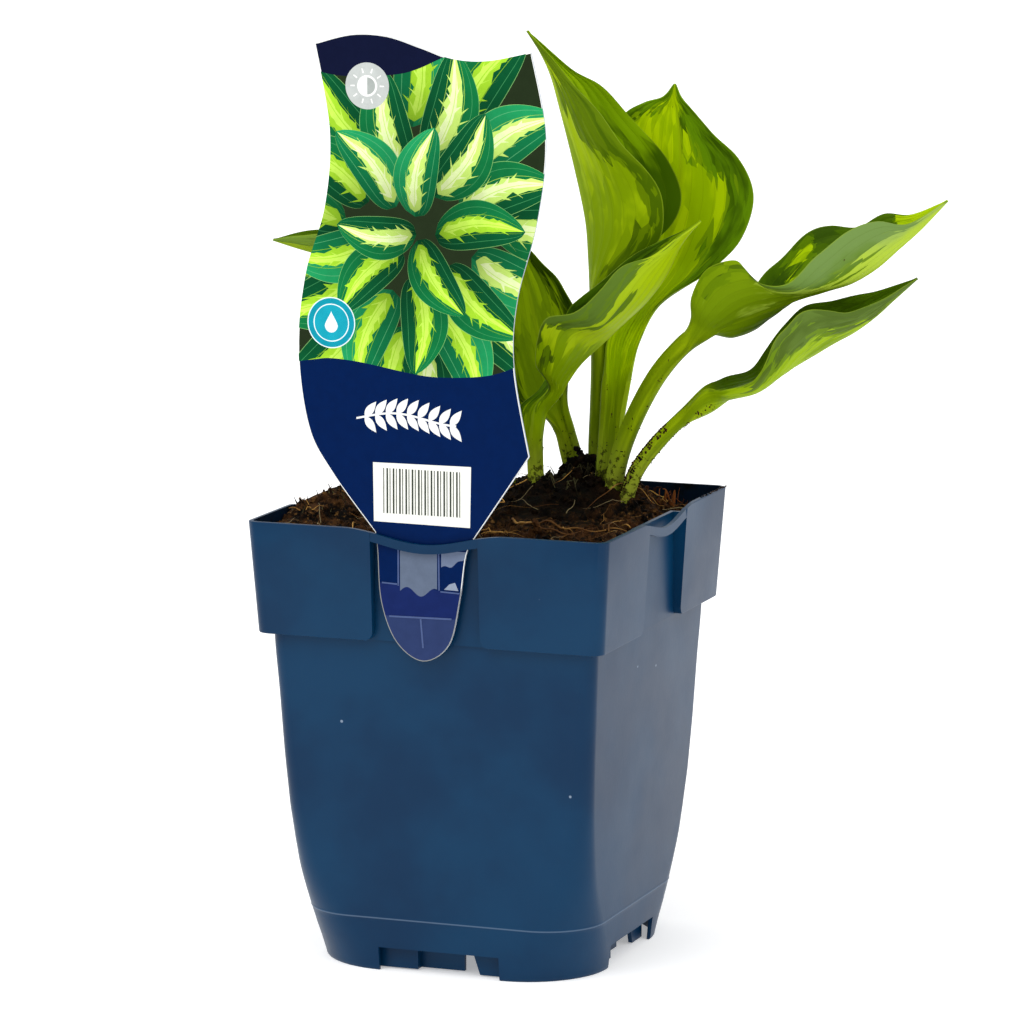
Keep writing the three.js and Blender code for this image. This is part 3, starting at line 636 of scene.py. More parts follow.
def lying_strand(x, y, length, radius, loft):
    """A curling strand that lies on the peat and lifts off it in the middle."""
    heading = dice.uniform(0, 6.28)
    curl = dice.uniform(-0.06, 0.06)
    run = []
    for t in evenly(0, 1, STRAND_STEPS):
        heading += curl + dice.uniform(-0.1, 0.1)
        x += math.cos(heading) * length / STRAND_STEPS
        y += math.sin(heading) * length / STRAND_STEPS
        if not inside_walls(x, y):
            break
        up = 0.5 + loft * math.sin(math.pi * t) + 0.25 * math.sin(9 * t + curl * 40)
        ground = max(crumbly(x, y), soil_height(x, y) + 0.9)
        run.append((Vector((x, y, ground + up)), radius * (1 - 0.75 * t * t)))
    return run


STRAND_STEPS = 14
COIR_COUNT = 56
ROOT_COUNT = 34
SHEATH_COUNT = 70
TUFT_COUNT = 44
BARK_COUNT = 58
BARK_AT_WALL = 20
BARK_TOP = 125.2
coir_runs, root_runs = [], []
while len(coir_runs) < COIR_COUNT:
    x, y = dice.uniform(-49, 49), dice.uniform(-49, 49)
    if not inside_walls(x, y) or (dice.random() < 0.7 and x - 0.3 * y < 14):
        continue
    run = lying_strand(x, y, dice.uniform(5, 26), 0.05 + 0.2 * dice.random() ** 2, dice.uniform(0, 1.8))
    if len(run) > 5:
        coir_runs.append(run)
# two long fibres sweep over the front right of the soil
for x, y, length, start in ((9, -9, 34, -1.15), (13, -14, 30, -0.75)):
    run = []
    for i in range(19):
        x += math.cos(start + 0.05 * i) * length / 18
        y += math.sin(start + 0.05 * i) * length / 18
        if inside_walls(x, y):
            up = 0.7 + 1.3 * math.sin(0.17 * i) + 0.15 * math.sin(1.1 * i)
            ground = max(crumbly(x, y), soil_height(x, y) + 1.4)
            run.append((Vector((x, y, ground + up)), 0.36 - 0.01 * i))
    coir_runs.append(run)
while len(root_runs) < ROOT_COUNT:
    x, y = dice.uniform(-48, 48), dice.uniform(-48, 48)
    run = lying_strand(x, y, dice.uniform(5, 14), dice.uniform(0.05, 0.12), dice.uniform(0, 1.2))
    if inside_walls(x, y) and len(run) > 5:
        root_runs.append(run)

# torn sheaths and dead root hairs round the feet of the stalks, and short tufts on the clod at the left
sheath_runs = []
for k in range(SHEATH_COUNT):
    foot = plant_point(dice.gauss(25, 8), dice.gauss(22, 5), 0)
    lean = Vector((dice.uniform(-1, 1), dice.uniform(-1, 0.3), dice.uniform(-0.1, 0.6)))
    reach = dice.uniform(2.5, 8)
    run = []
    for t in evenly(0, 1, 7):
        where = foot + lean * reach * t
        up = 0.6 + lean.z * reach * math.sin(2.4 * t) + 0.4 * math.sin(5 * t + k)
        where.z = crumbly(where.x, where.y) + up
        run.append((where, (0.07 + 0.13 * ((k * 7) % 5) / 4) * (1 - 0.6 * t)))
    sheath_runs.append(run)
for k in range(TUFT_COUNT):
    x, y = dice.uniform(-49, -37), dice.uniform(-38, -6)
    lean = Vector((dice.uniform(-0.5, 0.5), dice.uniform(-0.5, 0.5), dice.uniform(0.3, 1)))
    tuft = Vector((x, y, crumbly(x, y) - 0.2))
    tall = dice.uniform(1.2, 3.4)
    bend = dice.uniform(-1, 1)
    run = []
    for i in range(7):
        side = Vector((bend, -bend, 0)) * 0.5 * (i / 6) ** 2
        run.append((tuft + lean * tall * i / 6 + side, 0.22 * (1 - 0.12 * i)))
    sheath_runs.append(run)

# reddish bark strips at the far right corner, the first ones standing against the pot's wall
bark_runs = []
for k in range(BARK_COUNT):
    against = k < BARK_AT_WALL
    x, y = dice.uniform(24, 45), dice.uniform(42, 48) if against else dice.uniform(26, 47.5)
    lean = Vector((dice.uniform(-0.5, 0.5), dice.uniform(-0.4, 0.4), dice.uniform(0.2, 0.9)))
    if against:
        lean = Vector((dice.uniform(-0.5, 0.3), dice.uniform(0, 0.3), 1))
    start = Vector((x, y, crumbly(x, y) - 0.5))
    tall = dice.uniform(4, 9)
    width = 0.8 if k < 3 else 0.12 + 0.4 * dice.random() ** 2
    run = []
    for t in evenly(0, 1, 8):
        bend = Vector((math.sin(3 * t + k), math.cos(2 * t + k), 0)) * 0.6 * t
        where = start + lean * tall * t + bend
        where.x, where.y = min(where.x, 49.8), min(where.y, 49.8)
        where.z = min(where.z, BARK_TOP)
        run.append((where, width * (1 - 0.7 * t)))
    bark_runs.append(run)

# each kind of strand, its sheen, how coarse its mottling is, and its dark and light tones
for name, runs, roughness, specular, scale, limits, tones in (
    ("coir_fibres", coir_runs, 0.75, 0.15, 75.0, (0.42, 0.66), ("5a3818", "cf9c50")),
    ("bark_fibres", bark_runs, 0.8, 0.08, 90.0, (0.4, 0.66), ("2c1409", "8a4f26")),
    ("torn_sheaths", sheath_runs, 0.8, 0.08, 90.0, (0.4, 0.66), ("1d1a10", "5a5638")),
    ("fine_roots", root_runs, 0.6, 0.3, 90.0, None, ("5a4a30", "a08f66")),
):
    piece = strands(name, runs)
    husk = Finish(name, roughness, specular)
    mottled = husk.grain(husk.place(), scale, 2.0)
    husk.colour(husk.blend(husk.ramp(mottled, *limits) if limits else mottled, *tones))
    dress(piece, husk)
    hand_over(piece, "soil")

# Crown
# The short woody root crown just under the peat, from which the seven stalks rise. It keeps its solid.
corky = Finish("root_crown", roughness=0.8, specular=0.25)
at = corky.place()
corky.colour(corky.blend(corky.grain(at, 220.0, 4.0, 0.65), "3a2814", "7d6136"))
corky.relief(corky.grain(at, 500.0, 4.0, 0.6), 0.0006, 0.8)
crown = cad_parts["crown"]
dress(crown, corky)

# Leaves
# Each leaf is a channelled stalk and a blade in one: two green faces on a thin sheet with sunken veins,
# a stout midrib below, wide dark margins, a yellow-green middle that breaks up into fingers, and a pale edge
# that is a painted highlight.
BLADE_TOP = 0.32
BLADE_UNDER = 0.34
MIDRIB = 0.9
STALK_SHIFT = 1.1 / 3
LEAF_COLUMNS = 56
ROWS_PER_STATION = 13
VEINS = 7
# in the plant's directions: the middle of the stalk, station by station, then left edge, middle and right
# edge of the blade with the bulge of its two halves, and last its tip
LEAVES = {
    "leaf_tall": {
        "across": (0, 1, 0), "width": 2.7, "deep": 3.0, "seed": 3.0,
        "stalk": [(30.2, 30, 116), (30.1, 30, 127), (29.9, 30, 137), (30.3, 30, 148), (30.6, 30, 159),
                  (30.5, 29.8, 170)],
        "blade": [
            ((30.6, 26.4, 181), (29.8, 29, 181), (31.2, 31.6, 180), 0.5, 0.5),
            ((38, 19, 189), (29, 29, 190), (38.5, 36, 189), 2, 1.5),
            ((47, 14, 199), (28, 29, 201), (51, 38, 200), 3, 3),
            ((48, 13, 209), (26, 29, 211), (54, 38, 208), 3, 3),
            ((43, 13, 218), (23, 28, 223), (50, 38, 218), 3, 3),
            ((35, 16, 227), (20, 27, 234), (40, 36, 230), 2.5, 2.5),
            ((27, 19, 237), (17, 26, 244), (31, 33, 239.6), 1.5, 1.5),
            ((19, 22, 246), (14, 26, 250), (22.4, 29, 245.2), 0.8, 0.8),
            ((10, 25, 256),),
        ],
    },
    "leaf_broad": {
        "across": (1, 0, 0), "width": 3.2, "deep": 3.0, "seed": 8.0,
        "stalk": [(32.6, 22.3, 116), (32.6, 22.3, 127), (33.2, 22.9, 136), (33.9, 24.4, 145)],
        "blade": [
            ((31.3, 23.6, 155.5), (35, 27, 154.5), (38.8, 23.8, 155.5), 0.4, 0.4),
            ((31.9, 24, 162), (36, 28.4, 161), (40.2, 24.6, 162), 0.5, 0.5),
            ((32.8, 25.4, 168.5), (37.4, 31, 167.5), (42, 27, 168.5), 0.8, 0.8),
            ((36.5, 33, 177), (42.5, 37, 176), (47.5, 33, 177.5), 1, 1),
            ((38, 43, 186), (49, 45, 187), (61, 39, 186), 1.5, 2),
            ((34, 45, 197), (51, 47, 197), (71, 37, 196), 2, 3),
            ((33, 46, 209), (53, 48, 207), (74, 36, 208), 2, 3),
            ((34, 46, 220), (54, 48, 217), (70, 38, 219), 1.5, 2.5),
            ((37.5, 46, 230.5), (53.5, 48, 226), (62.3, 42, 225.8), 1, 1.5),
            ((43.2, 47, 234), (52.8, 48, 231.5), (56.9, 45, 232.2), 0.5, 0.5),
            ((48.6, 46.8, 235.6), (51.9, 47.2, 235), (53.9, 46, 235.6), 0.2, 0.2),
            ((52, 46, 239.3),),
        ],
    },
    "leaf_front": {
        "across": (0, -1, 0), "width": 2.5, "deep": 3.0, "seed": 13.0,
        "stalk": [(12.3, 20, 116), (12.3, 20, 128), (12, 19.8, 135.5)],
        "blade": [
            ((8.8, 21.8, 142.5), (12.4, 19.3, 142.5), (11.6, 16, 143.5), 0.4, 0.4),
            ((7.8, 21, 150), (14.4, 18, 149.5), (12.6, 14.2, 151.5), 0.5, 0.4),
            ((13.5, 19.5, 155.5), (18.2, 15.6, 154.5), (16, 12.6, 156.5), 0.4, 0.4),
            ((16, 22, 161), (20, 14.5, 158), (12, 3, 165), 2, 2),
            ((18, 22, 168), (24, 13, 164), (13, -2, 172), 2.5, 3),
            ((21, 19, 177), (30, 11.5, 170), (15, -5, 179), 2.5, 3),
            ((25, 15, 182), (36, 9.5, 176), (23, -6, 180), 2, 3),
            ((32, 12, 188), (43, 7, 183), (30, -5, 187), 1.5, 2.5),
            ((40, 9, 195), (48, 5, 190), (37, -3, 193), 1, 1.5),
            ((47, 6, 199), (52, 3.5, 198), (45, 0, 196), 0.5, 0.8),
            ((53, 4, 202), (55, 2.5, 202), (52.5, 1, 201), 0.2, 0.2),
            ((58, 2, 205),),
        ],
    },
    "leaf_upper_right": {
        "across": (0, -1, 0), "width": 2.6, "deep": 3.7, "seed": 21.0,
        "stalk": [(34, 14.5, 116), (34, 14.5, 127), (36, 14, 138), (40.6, 13, 150), (46.9, 11.2, 161.6),
                  (53.8, 9.5, 169.8)],
        "blade": [
            ((57.6, 11.5, 174.2), (59.7, 8, 173.4), (55.5, 5, 176), 0.3, 0.3),
            ((65, 16, 175), (66, 7, 176.4), (55.5, -1, 184), 4, 2),
            ((71, 22, 180), (73, 6, 179.2), (60.5, -5, 193), 6, 3),
            ((76, 24, 186), (79, 5.5, 181.2), (67.5, -6, 195), 6, 3),
            ((81, 22, 192), (86, 5, 184), (73, -6, 189), 4, 1.5),
            ((88, 20, 199), (93, 5, 186), (82, -7, 189), 3, 1.5),
            ((95, 18, 202), (100, 5.5, 188), (90, -7, 196), 2.5, 2.5),
            ((103, 15, 202), (107, 6, 192), (98, -5, 203), 2, 2.5),
            ((110, 12, 206), (113, 6.5, 197), (107, -1, 205), 1, 1.5),
            ((117, 10, 206), (119, 7, 202), (115.5, 4, 204), 0.3, 0.4),
            ((127, 8, 210),),
        ],
    },
    "leaf_lower_right": {
        "across": (0, -1, 0), "width": 2.2, "deep": 2.8, "seed": 27.0,
        "stalk": [(36.9, 9.3, 115), (37.4, 9.3, 125), (40.4, 9.3, 133.6), (46.2, 9, 141.7), (53, 8.2, 148.7)],
        "blade": [
            ((59.5, 10, 157), (60.8, 6.5, 152.6), (59.5, 3, 157), 0.3, 0.3),
            ((65, 14, 159), (66.8, 6, 156.4), (64.5, -3, 158), 1.5, 1.5),
            ((72, 17, 161), (74, 5.5, 159.6), (71, -6, 160), 2, 2.5),
            ((77, 18, 166), (81, 5.5, 163), (76, -8, 167), 2.5, 3),
            ((82, 18, 174), (88, 6, 167), (80, -8, 175), 2.5, 3),
            ((88, 17, 179), (95, 6.5, 171), (85, -7, 180), 2.5, 3),
            ((96, 15, 181.4), (101, 7, 174), (93, -5, 181), 2, 2.5),
            ((103, 13, 183), (107, 8, 178), (100, -2, 180), 1.2, 1.5),
            ((109, 12, 184.6), (112, 9.5, 182), (108, 4, 182.5), 0.4, 0.6),
            ((119, 10, 188),),
        ],
    },
    "leaf_behind_label": {
        "across": (1, 0, 0), "width": 2.6, "deep": 3.0, "seed": 34.0,
        "stalk": [(24.2, 34.8, 116), (24, 34.6, 127), (22.3, 33.8, 135.5), (20.5, 32.2, 142)],
        "blade": [
            ((13.5, 28.5, 147), (19, 31.2, 147), (21, 28.5, 150), 0.4, 0.4),
            ((6.5, 24.5, 151), (16.5, 31.2, 155), (22, 25, 162), 1.5, 1.5),
            ((3, 22, 163), (14, 32, 165), (24, 26, 173), 2, 2),
            ((1, 23, 173), (12, 33, 174), (22, 28, 180), 2, 2),
            ((1, 25, 183), (10, 34, 183), (18, 30, 186), 1.5, 1.5),
            ((3, 29, 191), (8, 34.5, 190), (13, 32, 191), 0.8, 0.8),
            ((6, 35, 198),),
        ],
    },
    "leaf_left": {
        "across": (0, 1, 0), "width": 2.4, "deep": 3.0, "seed": 40.0,
        "stalk": [(5, 25, 116), (4.8, 25, 128), (3.6, 23, 138), (1.5, 20, 148), (-2, 17, 157)],
        "blade": [
            ((-6, 11, 168), (-7, 14, 167), (-6, 17, 168), 0.3, 0.3),
            ((-10, 2, 182), (-13, 12, 175), (-9, 22, 182), 2, 2),
            ((-19, -2, 193), (-20, 11, 183), (-16, 24, 191), 3, 3),
            ((-29, -3, 199), (-28, 10, 189), (-25, 23, 197), 3, 3),
            ((-39, 0, 201), (-37, 10, 193), (-35, 20, 201), 2, 2),
            ((-47, 3, 201), (-46, 9.5, 195), (-45, 16, 201), 1, 1),
            ((-54, 6, 200.5), (-54, 9, 197), (-53, 12, 201), 0.4, 0.4),
            ((-61, 9, 199),),
        ],
    },
}


def rail_point(points, t):
    """Point on a rounded line through points, evened out by the distances between them."""
    last = len(points) - 1
    place = last * t
    k = min(int(place), last - 1)
    w = place - k
    p1, p2 = points[k], points[k + 1]
    p0 = points[k - 1] if k > 0 else p1 * 2 - p2
    p3 = points[k + 2] if k + 2 <= last else p2 * 2 - p1
    d0, d1, d2 = (math.sqrt((b - a).length) for a, b in ((p0, p1), (p1, p2), (p2, p3)))
    d1 = d1 if d1 > 1e-4 else 1.0
    d0 = d0 if d0 > 1e-4 else d1
    d2 = d2 if d2 > 1e-4 else d1
    t1 = ((p1 - p0) / d0 - (p2 - p0) / (d0 + d1) + (p2 - p1) / d1) * d1
    t2 = ((p2 - p1) / d1 - (p3 - p1) / (d1 + d2) + (p3 - p2) / d2) * d1
    return p1 + t1 * w + (p2 * 3 - p1 * 3 - t1 * 2 - t2) * w * w + (p1 * 2 - p2 * 2 + t1 + t2) * w ** 3


def leaf_rails(leaf):
    """The lines that a leaf is laid on, with a point or a share for each station of its stalk and blade."""
    across = Vector(leaf["across"])
    stalk = [Vector(p) for p in leaf["stalk"]]
    rails = {"left": [], "middle": [], "right": [], "bulge": [], "thick": [], "deep": leaf["deep"]}
    for i, p in enumerate(stalk):
        ahead = stalk[i + 1] if i + 1 < len(stalk) else Vector(leaf["blade"][0][1])
        lift = across.cross((ahead - p).normalized()).normalized() * leaf["width"] * 0.45
        rails["left"].append(p - across * leaf["width"] + lift)
        rails["middle"].append(p)
        rails["right"].append(p + across * leaf["width"] + lift)
        rails["bulge"].append(Vector((0.35, 0.35, 0)))
        rails["thick"].append(Vector((1, 0, 0)))
    for i, station in enumerate(leaf["blade"]):
        if len(station) == 1:
            tip = Vector(station[0])
            spread = (rails["right"][-1] - rails["left"][-1]).normalized() * 0.3
            left, middle, right, bulge = tip - spread, tip, tip + spread, Vector((0, 0, 0))
        else:
            left, middle, right = (Vector(p) for p in station[:3])
            bulge = Vector((station[3], station[4], 0))
        stalkness = (0.75, 0.35, 0.15, 0.05)[i] if i < 4 else 0.0
        for key, value in (("left", left), ("middle", middle), ("right", right), ("bulge", bulge)):
            rails[key].append(value)
        rails["thick"].append(Vector((stalkness, 0, 0)))
    return rails


def leaf_row(rails, t, seed):
    """The points of one row across the leaf: its upper face and its under face, from left to right."""
    left, middle, right, bulge = (rail_point(rails[k], t) for k in ("left", "middle", "right", "bulge"))
    thick = max(0.0, min(1.0, rail_point(rails["thick"], t).x))
    along = rail_point(rails["middle"], min(1, t + 0.01)) - rail_point(rails["middle"], max(0, t - 0.01))
    along.normalize()
    places = [2 * j / LEAF_COLUMNS - 1 for j in range(LEAF_COLUMNS + 1)]
    surface = []
    for s in places:
        k = abs(s)
        reach = (left if s < 0 else right) - middle
        outward = (reach.cross(along) if s < 0 else along.cross(reach)).normalized()
        bow = 4 * k * (1 - k) * (bulge.x if s < 0 else bulge.y)
        wave = (1 - thick) * k ** 3 * min(0.5, 0.035 * reach.length)
        ripple = wave * math.sin(t * 46 + seed + (1.3 if s < 0 else 0.0))
        surface.append(middle + reach * k + outward * (bow + ripple))
    upper, under = [], []
    for j, s in enumerate(places):
        k = abs(s)
        step = surface[min(LEAF_COLUMNS, j + 1)] - surface[max(0, j - 1)]
        normal = step.cross(along).normalized()
        reach = ((left if s < 0 else right) - middle).length
        furrow = (1 - thick) * min(0.2, 0.016 * reach) * (abs(math.sin(math.pi * VEINS * k)) ** 0.6 - 0.6)
        furrow *= min(1.0, 6 * (1 - k))
        rib = MIDRIB * max(0.0, 1 - 4 * k) * min(1.0, 3 * (1 - t))
        round_back = rails["deep"] * math.sqrt(max(0.0, 1 - s * s))
        below = BLADE_UNDER + rib * (1 - thick) + thick * (0.3 + round_back)
        shift = thick * STALK_SHIFT * rails["deep"] + furrow
        edge = min(1.0, 0.35 + 8 * (1 - k)) if thick < 0.5 else 1.0
        upper.append(surface[j] + normal * (BLADE_TOP * edge + shift))
        under.append(surface[j] + normal * (shift - below * edge))
    return upper, under


def make_leaf(name, leaf):
    """The blade and stalk as one closed sheet; its points remember how far across and along they lie."""
    rails = leaf_rails(leaf)
    stations = len(leaf["stalk"]) + len(leaf["blade"])
    count = (stations - 1) * ROWS_PER_STATION
    rows = []
    for i in range(count + 1):
        upper, under = leaf_row(rails, i / count, leaf["seed"])
        rows.append([plant_point(*p) for p in upper + under[::-1]])
    side = LEAF_COLUMNS + 1
    piece = laid_over(name, rows, 2 * side)
    where = piece.data.attributes.new("blade", "FLOAT_VECTOR", "POINT")
    for k, point in enumerate(where.data):
        i, j = divmod(k, 2 * side + 1)
        j %= 2 * side
        s = 2 * (j if j < side else 2 * side - 1 - j) / LEAF_COLUMNS - 1
        point.vector = (s, i / count * (stations - 1) - len(leaf["stalk"]), leaf["seed"])
    for k, face in enumerate(piece.data.polygons):
        face.material_index = 0 if k % (2 * side) < side - 1 else 1
    close_ends()
    bpy.ops.object.shade_smooth_by_angle(angle=math.radians(50))
    return piece, rows


def reach_along(skin, t, reaches):
    """How far the light middle reaches toward the margin, from pairs of place on the blade and share."""
    made = skin.node("ShaderNodeFloatCurve", {"Value": skin.math("DIVIDE", t, LAST_PLACE, clamp=True)})
    curve = made.mapping.curves[0]
    for k, (place, share) in enumerate(reaches):
        if k < 2:
            curve.points[k].location = (place / LAST_PLACE, share / WIDEST_SHARE)
        else:
            curve.points.new(place / LAST_PLACE, share / WIDEST_SHARE)
    made.mapping.update()
    return skin.times(made.outputs["Value"], WIDEST_SHARE)


def leaf_skin(name, look, reaches):
    """Leaf skin: a light middle and a half-tone that break up into blunt fingers, and a dark margin."""
    centre, between, margin, frosted, frost_from, roughness, light_tip = look
    skin = Finish(name, roughness, 0.07)
    skin.shader.inputs["Specular Tint"].default_value = (0.85, 1.0, 0.2, 1)
    at = skin.place()
    height = skin.parts(at)["Z"]
    across = skin.parts(skin.node("ShaderNodeAttribute", attribute_name="blade").outputs["Vector"])
    s, t, seed = across["X"], across["Y"], across["Z"]
    k = skin.math("ABSOLUTE", s)

    def drawn_out(fast, slow, shift):
        """Place on the leaf, stretched along the veins."""
        return skin.node("ShaderNodeCombineXYZ", {
            0: skin.times(s, fast), 1: skin.times(t, slow), 2: skin.plus(seed, shift)}).outputs[0]

    def patches(fast, slow, shift):
        """A random value for each long, angular patch between the veins."""
        cells = skin.node("ShaderNodeTexVoronoi", {"Vector": drawn_out(fast, slow, shift), "Scale": 1.0})
        return skin.parts(cells.outputs["Color"])["X"]

    def mixed(patch, patch_share, grain, grain_share):
        return skin.plus(skin.times(patch, patch_share), skin.times(grain, grain_share))

    # how far inside the torn edge of the light middle a point lies
    ragged = mixed(patches(9, 1.0, 0.0), 0.34, skin.grain(drawn_out(5, 0.5, 2.0), 1.0, 3.0, 0.6), 0.62)
    wide = skin.node("ShaderNodeMix", {
        0: skin.math("GREATER_THAN", s, 0.0), 2: reach_along(skin, t, reaches[0]),
        3: reach_along(skin, t, reaches[1])}).outputs[0]
    from_edge = skin.math("SUBTRACT", skin.plus(skin.math("SUBTRACT", wide, 0.48), ragged), k)
    inner = skin.ramp(from_edge, -0.004, 0.014)
    torn = skin.plus(from_edge, skin.times(patches(17, 1.6, 5.0), 0.22))
    half_tone = skin.times(skin.ramp(torn, -0.004, 0.014), 0.85)

    # margin, half-tone and middle, the first and last in two tones each, lighter or darker to the tip
    blotch = skin.grain(at, 60.0, 3.0, 0.6)
    cloud = skin.grain(drawn_out(3, 0.45, 7.0), 1.0, 3.0, 0.6)
    toward_tip = skin.times(skin.math("SUBTRACT", skin.ramp(t, 2.0, 7.5), 0.4), light_tip)
    pale = skin.ramp(skin.plus(mixed(patches(9, 0.8, 9.0), 0.3, cloud, 0.9), toward_tip), 0.52, 0.72)
    deep = skin.ramp(skin.plus(mixed(patches(8, 0.9, 12.0), 0.2, cloud, 0.9), toward_tip), 0.45, 0.66)
    green = skin.blend(half_tone, skin.blend(deep, *margin.split()), between)
    green = skin.blend(inner, green, skin.blend(pale, *centre.split()))

    # frosty bloom, veins, midrib, brown flecks and the thin pale edge, a painted highlight along the margin
    bloom = skin.times(skin.ramp(t, frost_from, frost_from + 2.2), frosted)
    frost = skin.times(skin.ramp(skin.plus(k, blotch), 0.8, 1.25), bloom)
    green = skin.blend(frost, green, "7d9860")
    lines = skin.math("ABSOLUTE", skin.math("SINE", skin.times(k, math.pi * VEINS)))
    green = skin.blend(skin.times(skin.ramp(lines, 0.16, 0.0), skin.times(cloud, 0.5)), green, "4c6402")
    green = skin.blend(skin.times(skin.ramp(k, 0.05, 0.015), 0.5), green, STALK_TONES[1])
    green = skin.blend(skin.flecks(at, 130.0, (0.13, 0.07), "Y", 0.985, 0.7), green, "3b3207")
    # painted highlight: a thin pale line along the very edge
    green = skin.blend(skin.times(skin.ramp(k, 0.987, 0.996), 0.42), green, "8fa820")

    # the stalk, paler at its foot, and smears of soil low down
    stem_noise = skin.grain(drawn_out(2.5, 0.4, 2.0), 1.0, 2.0, 0.5)
    stem = skin.blend(skin.ramp(stem_noise, 0.38, 0.62), STALK_TONES[0], STALK_TONES[1])
    stem = skin.blend(skin.times(skin.ramp(height, 0.146, 0.122), 0.75), stem, STALK_TONES[2])
    green = skin.blend(skin.ramp(t, 0.9, -0.8), green, stem)
    grime = skin.plus(skin.grain(at, 520.0, 4.0, 0.7), skin.times(skin.ramp(height, 0.158, 0.123), 0.25))
    green = skin.blend(skin.times(skin.ramp(grime, 0.72, 0.78), 0.8), green, "1c1206")
    skin.colour(green)
    skin.rough(skin.plus(skin.times(blotch, 0.14), roughness - 0.07))
    skin.relief(skin.times(skin.ramp(lines, 0.3, 0.0), -1.0), 0.00008, 0.4)
    return skin


# the upper face, then the under face of each leaf: two tones of the middle, the half-tone, two tones of the
# margin, how frosted it is and from which station on, its roughness, and how much lighter its tip is
LEAF_LOOKS = {
    "leaf_tall": (
        ("739602 88aa06", "6c8e02", "385600 759802", 0.0, 0, 0.5, 0.7),
        ("7c9802 9eb808", "658002", "456002 5a7404", 0.02, 4, 0.5, 0.3)),
    "leaf_broad": (
        ("92b200 aeca02", "7a9a04", "3f5e02 648c06", 0.0, 0, 0.45, 0.1),
        ("88a404 a4c00c", "6f8c04", "4c6604 5c7805", 0.15, 3, 0.5, 0.0)),
    "leaf_front": (
        ("6f8c04 86a40a", "5d7c04", "34500a 486a08", 0.0, 0, 0.45, 0.0),
        ("7c9a02 a6c00c", "5e7c04", "42590a 56721e", 0.08, 4, 0.5, 0.5)),
    "leaf_upper_right": (
        ("84a204 aac806", "5e8004", "34500a 466606", 0.0, 0, 0.45, 0.2),
        ("728e08 a8c23a", "688606", "4c660a 5a7a1c", 0.5, 3.8, 0.55, 0.5)),
    "leaf_lower_right": (
        ("52720a 86a40c", "4a6a06", "425e02 507006", 0.0, 0, 0.45, 0.0),
        ("769404 92b00e", "66840c", "465c14 566e24", 0.12, 2.5, 0.55, 0.0)),
    "leaf_behind_label": (
        ("6c8806 86a206", "526a04", "243a02 3a5204", 0.0, 0, 0.45, 0.0),
        ("5f7a04 76900a", "4c6404", "344c08 48620a", 0.0, 0, 0.5, 0.0)),
    "leaf_left": (
        ("7f9c10 9ab41a", "66820a", "3f5c06 55750a", 0.0, 0, 0.45, 0.0),
        ("7f9a0c 98b01a", "66820a", "56741a 6b8a20", 0.15, 1, 0.5, 0.0)),
}
# how far the light middle reaches on the left and the right half, from the foot of the blade to its tip
LIGHT_REACH = {
    "leaf_tall": (
        ((0, 1.1), (1, 0.62), (2, 0.76), (3.4, 0.74), (4.1, 0.62), (4.7, 0.3), (6, 0.27), (12, 0.3)),
        ((0, 0.9), (2, 0.3), (4, 0.25), (6, 0.5), (12, 0.6))),
    "leaf_broad": (
        ((0, 1.3), (7, 1.1), (8, 0.7), (8.8, 0.46), (9.4, 0.36), (12, 0.4)),
        ((0, 1.3), (2.6, 1.0), (4, 0.5), (5, 0.44), (6.4, 0.5), (7.0, 0.12), (8.4, 0.08), (9.2, 0.26),
         (12, 0.5))),
    "leaf_front": (
        ((0, 0.9), (4, 0.3), (8, 0.3), (9.5, 0.8), (12, 1)),
        ((0, 1.2), (2.4, 0.9), (3.8, 0.8), (4.5, 1.1), (5, 0.9), (5.7, 0.62), (7, 0.62), (8.2, 0.8),
         (12, 1.1))),
    "leaf_upper_right": (
        ((0, 0.8), (3.4, 0.25), (3.9, 0.7), (5, 0.7), (5.5, 0.35), (7.6, 0.25), (8.6, 0.9), (12, 1.3)),
        ((0, 1.2), (1.4, 0.95), (3.4, 0.85), (4.8, 0.66), (6, 0.42), (7.6, 0.42), (9, 0.7), (12, 1.3))),
    "leaf_lower_right": (
        ((0, 0.5), (2, 0.2), (5, 0.15), (12, 0.1)),
        ((0, 1.2), (1.5, 0.9), (3, 0.78), (4, 0.66), (5.2, 0.55), (6.4, 0.3), (12, 0.12))),
    "leaf_behind_label": (
        ((0, 1.1), (2, 0.7), (12, 0.4)),
        ((0, 1.0), (2, 0.66), (4, 0.55), (6, 0.3), (12, 0.3))),
    "leaf_left": (((0, 0.9), (3, 0.6), (12, 0.45)), ((0, 0.9), (3, 0.6), (12, 0.45))),
}
LAST_PLACE = 12.0
WIDEST_SHARE = 1.6
STALK_TONES = ("6c8404", "8ea608", "949a3a")
leaf_rows = {}
for name, leaf in LEAVES.items():
    piece, leaf_rows[name] = make_leaf("hosta_" + name, leaf)
    for side, look in zip(("_upper", "_under"), LEAF_LOOKS[name]):
        piece.data.materials.append(leaf_skin(name + side, look, LIGHT_REACH[name]).material)
    hand_over(piece, "leaf", name)

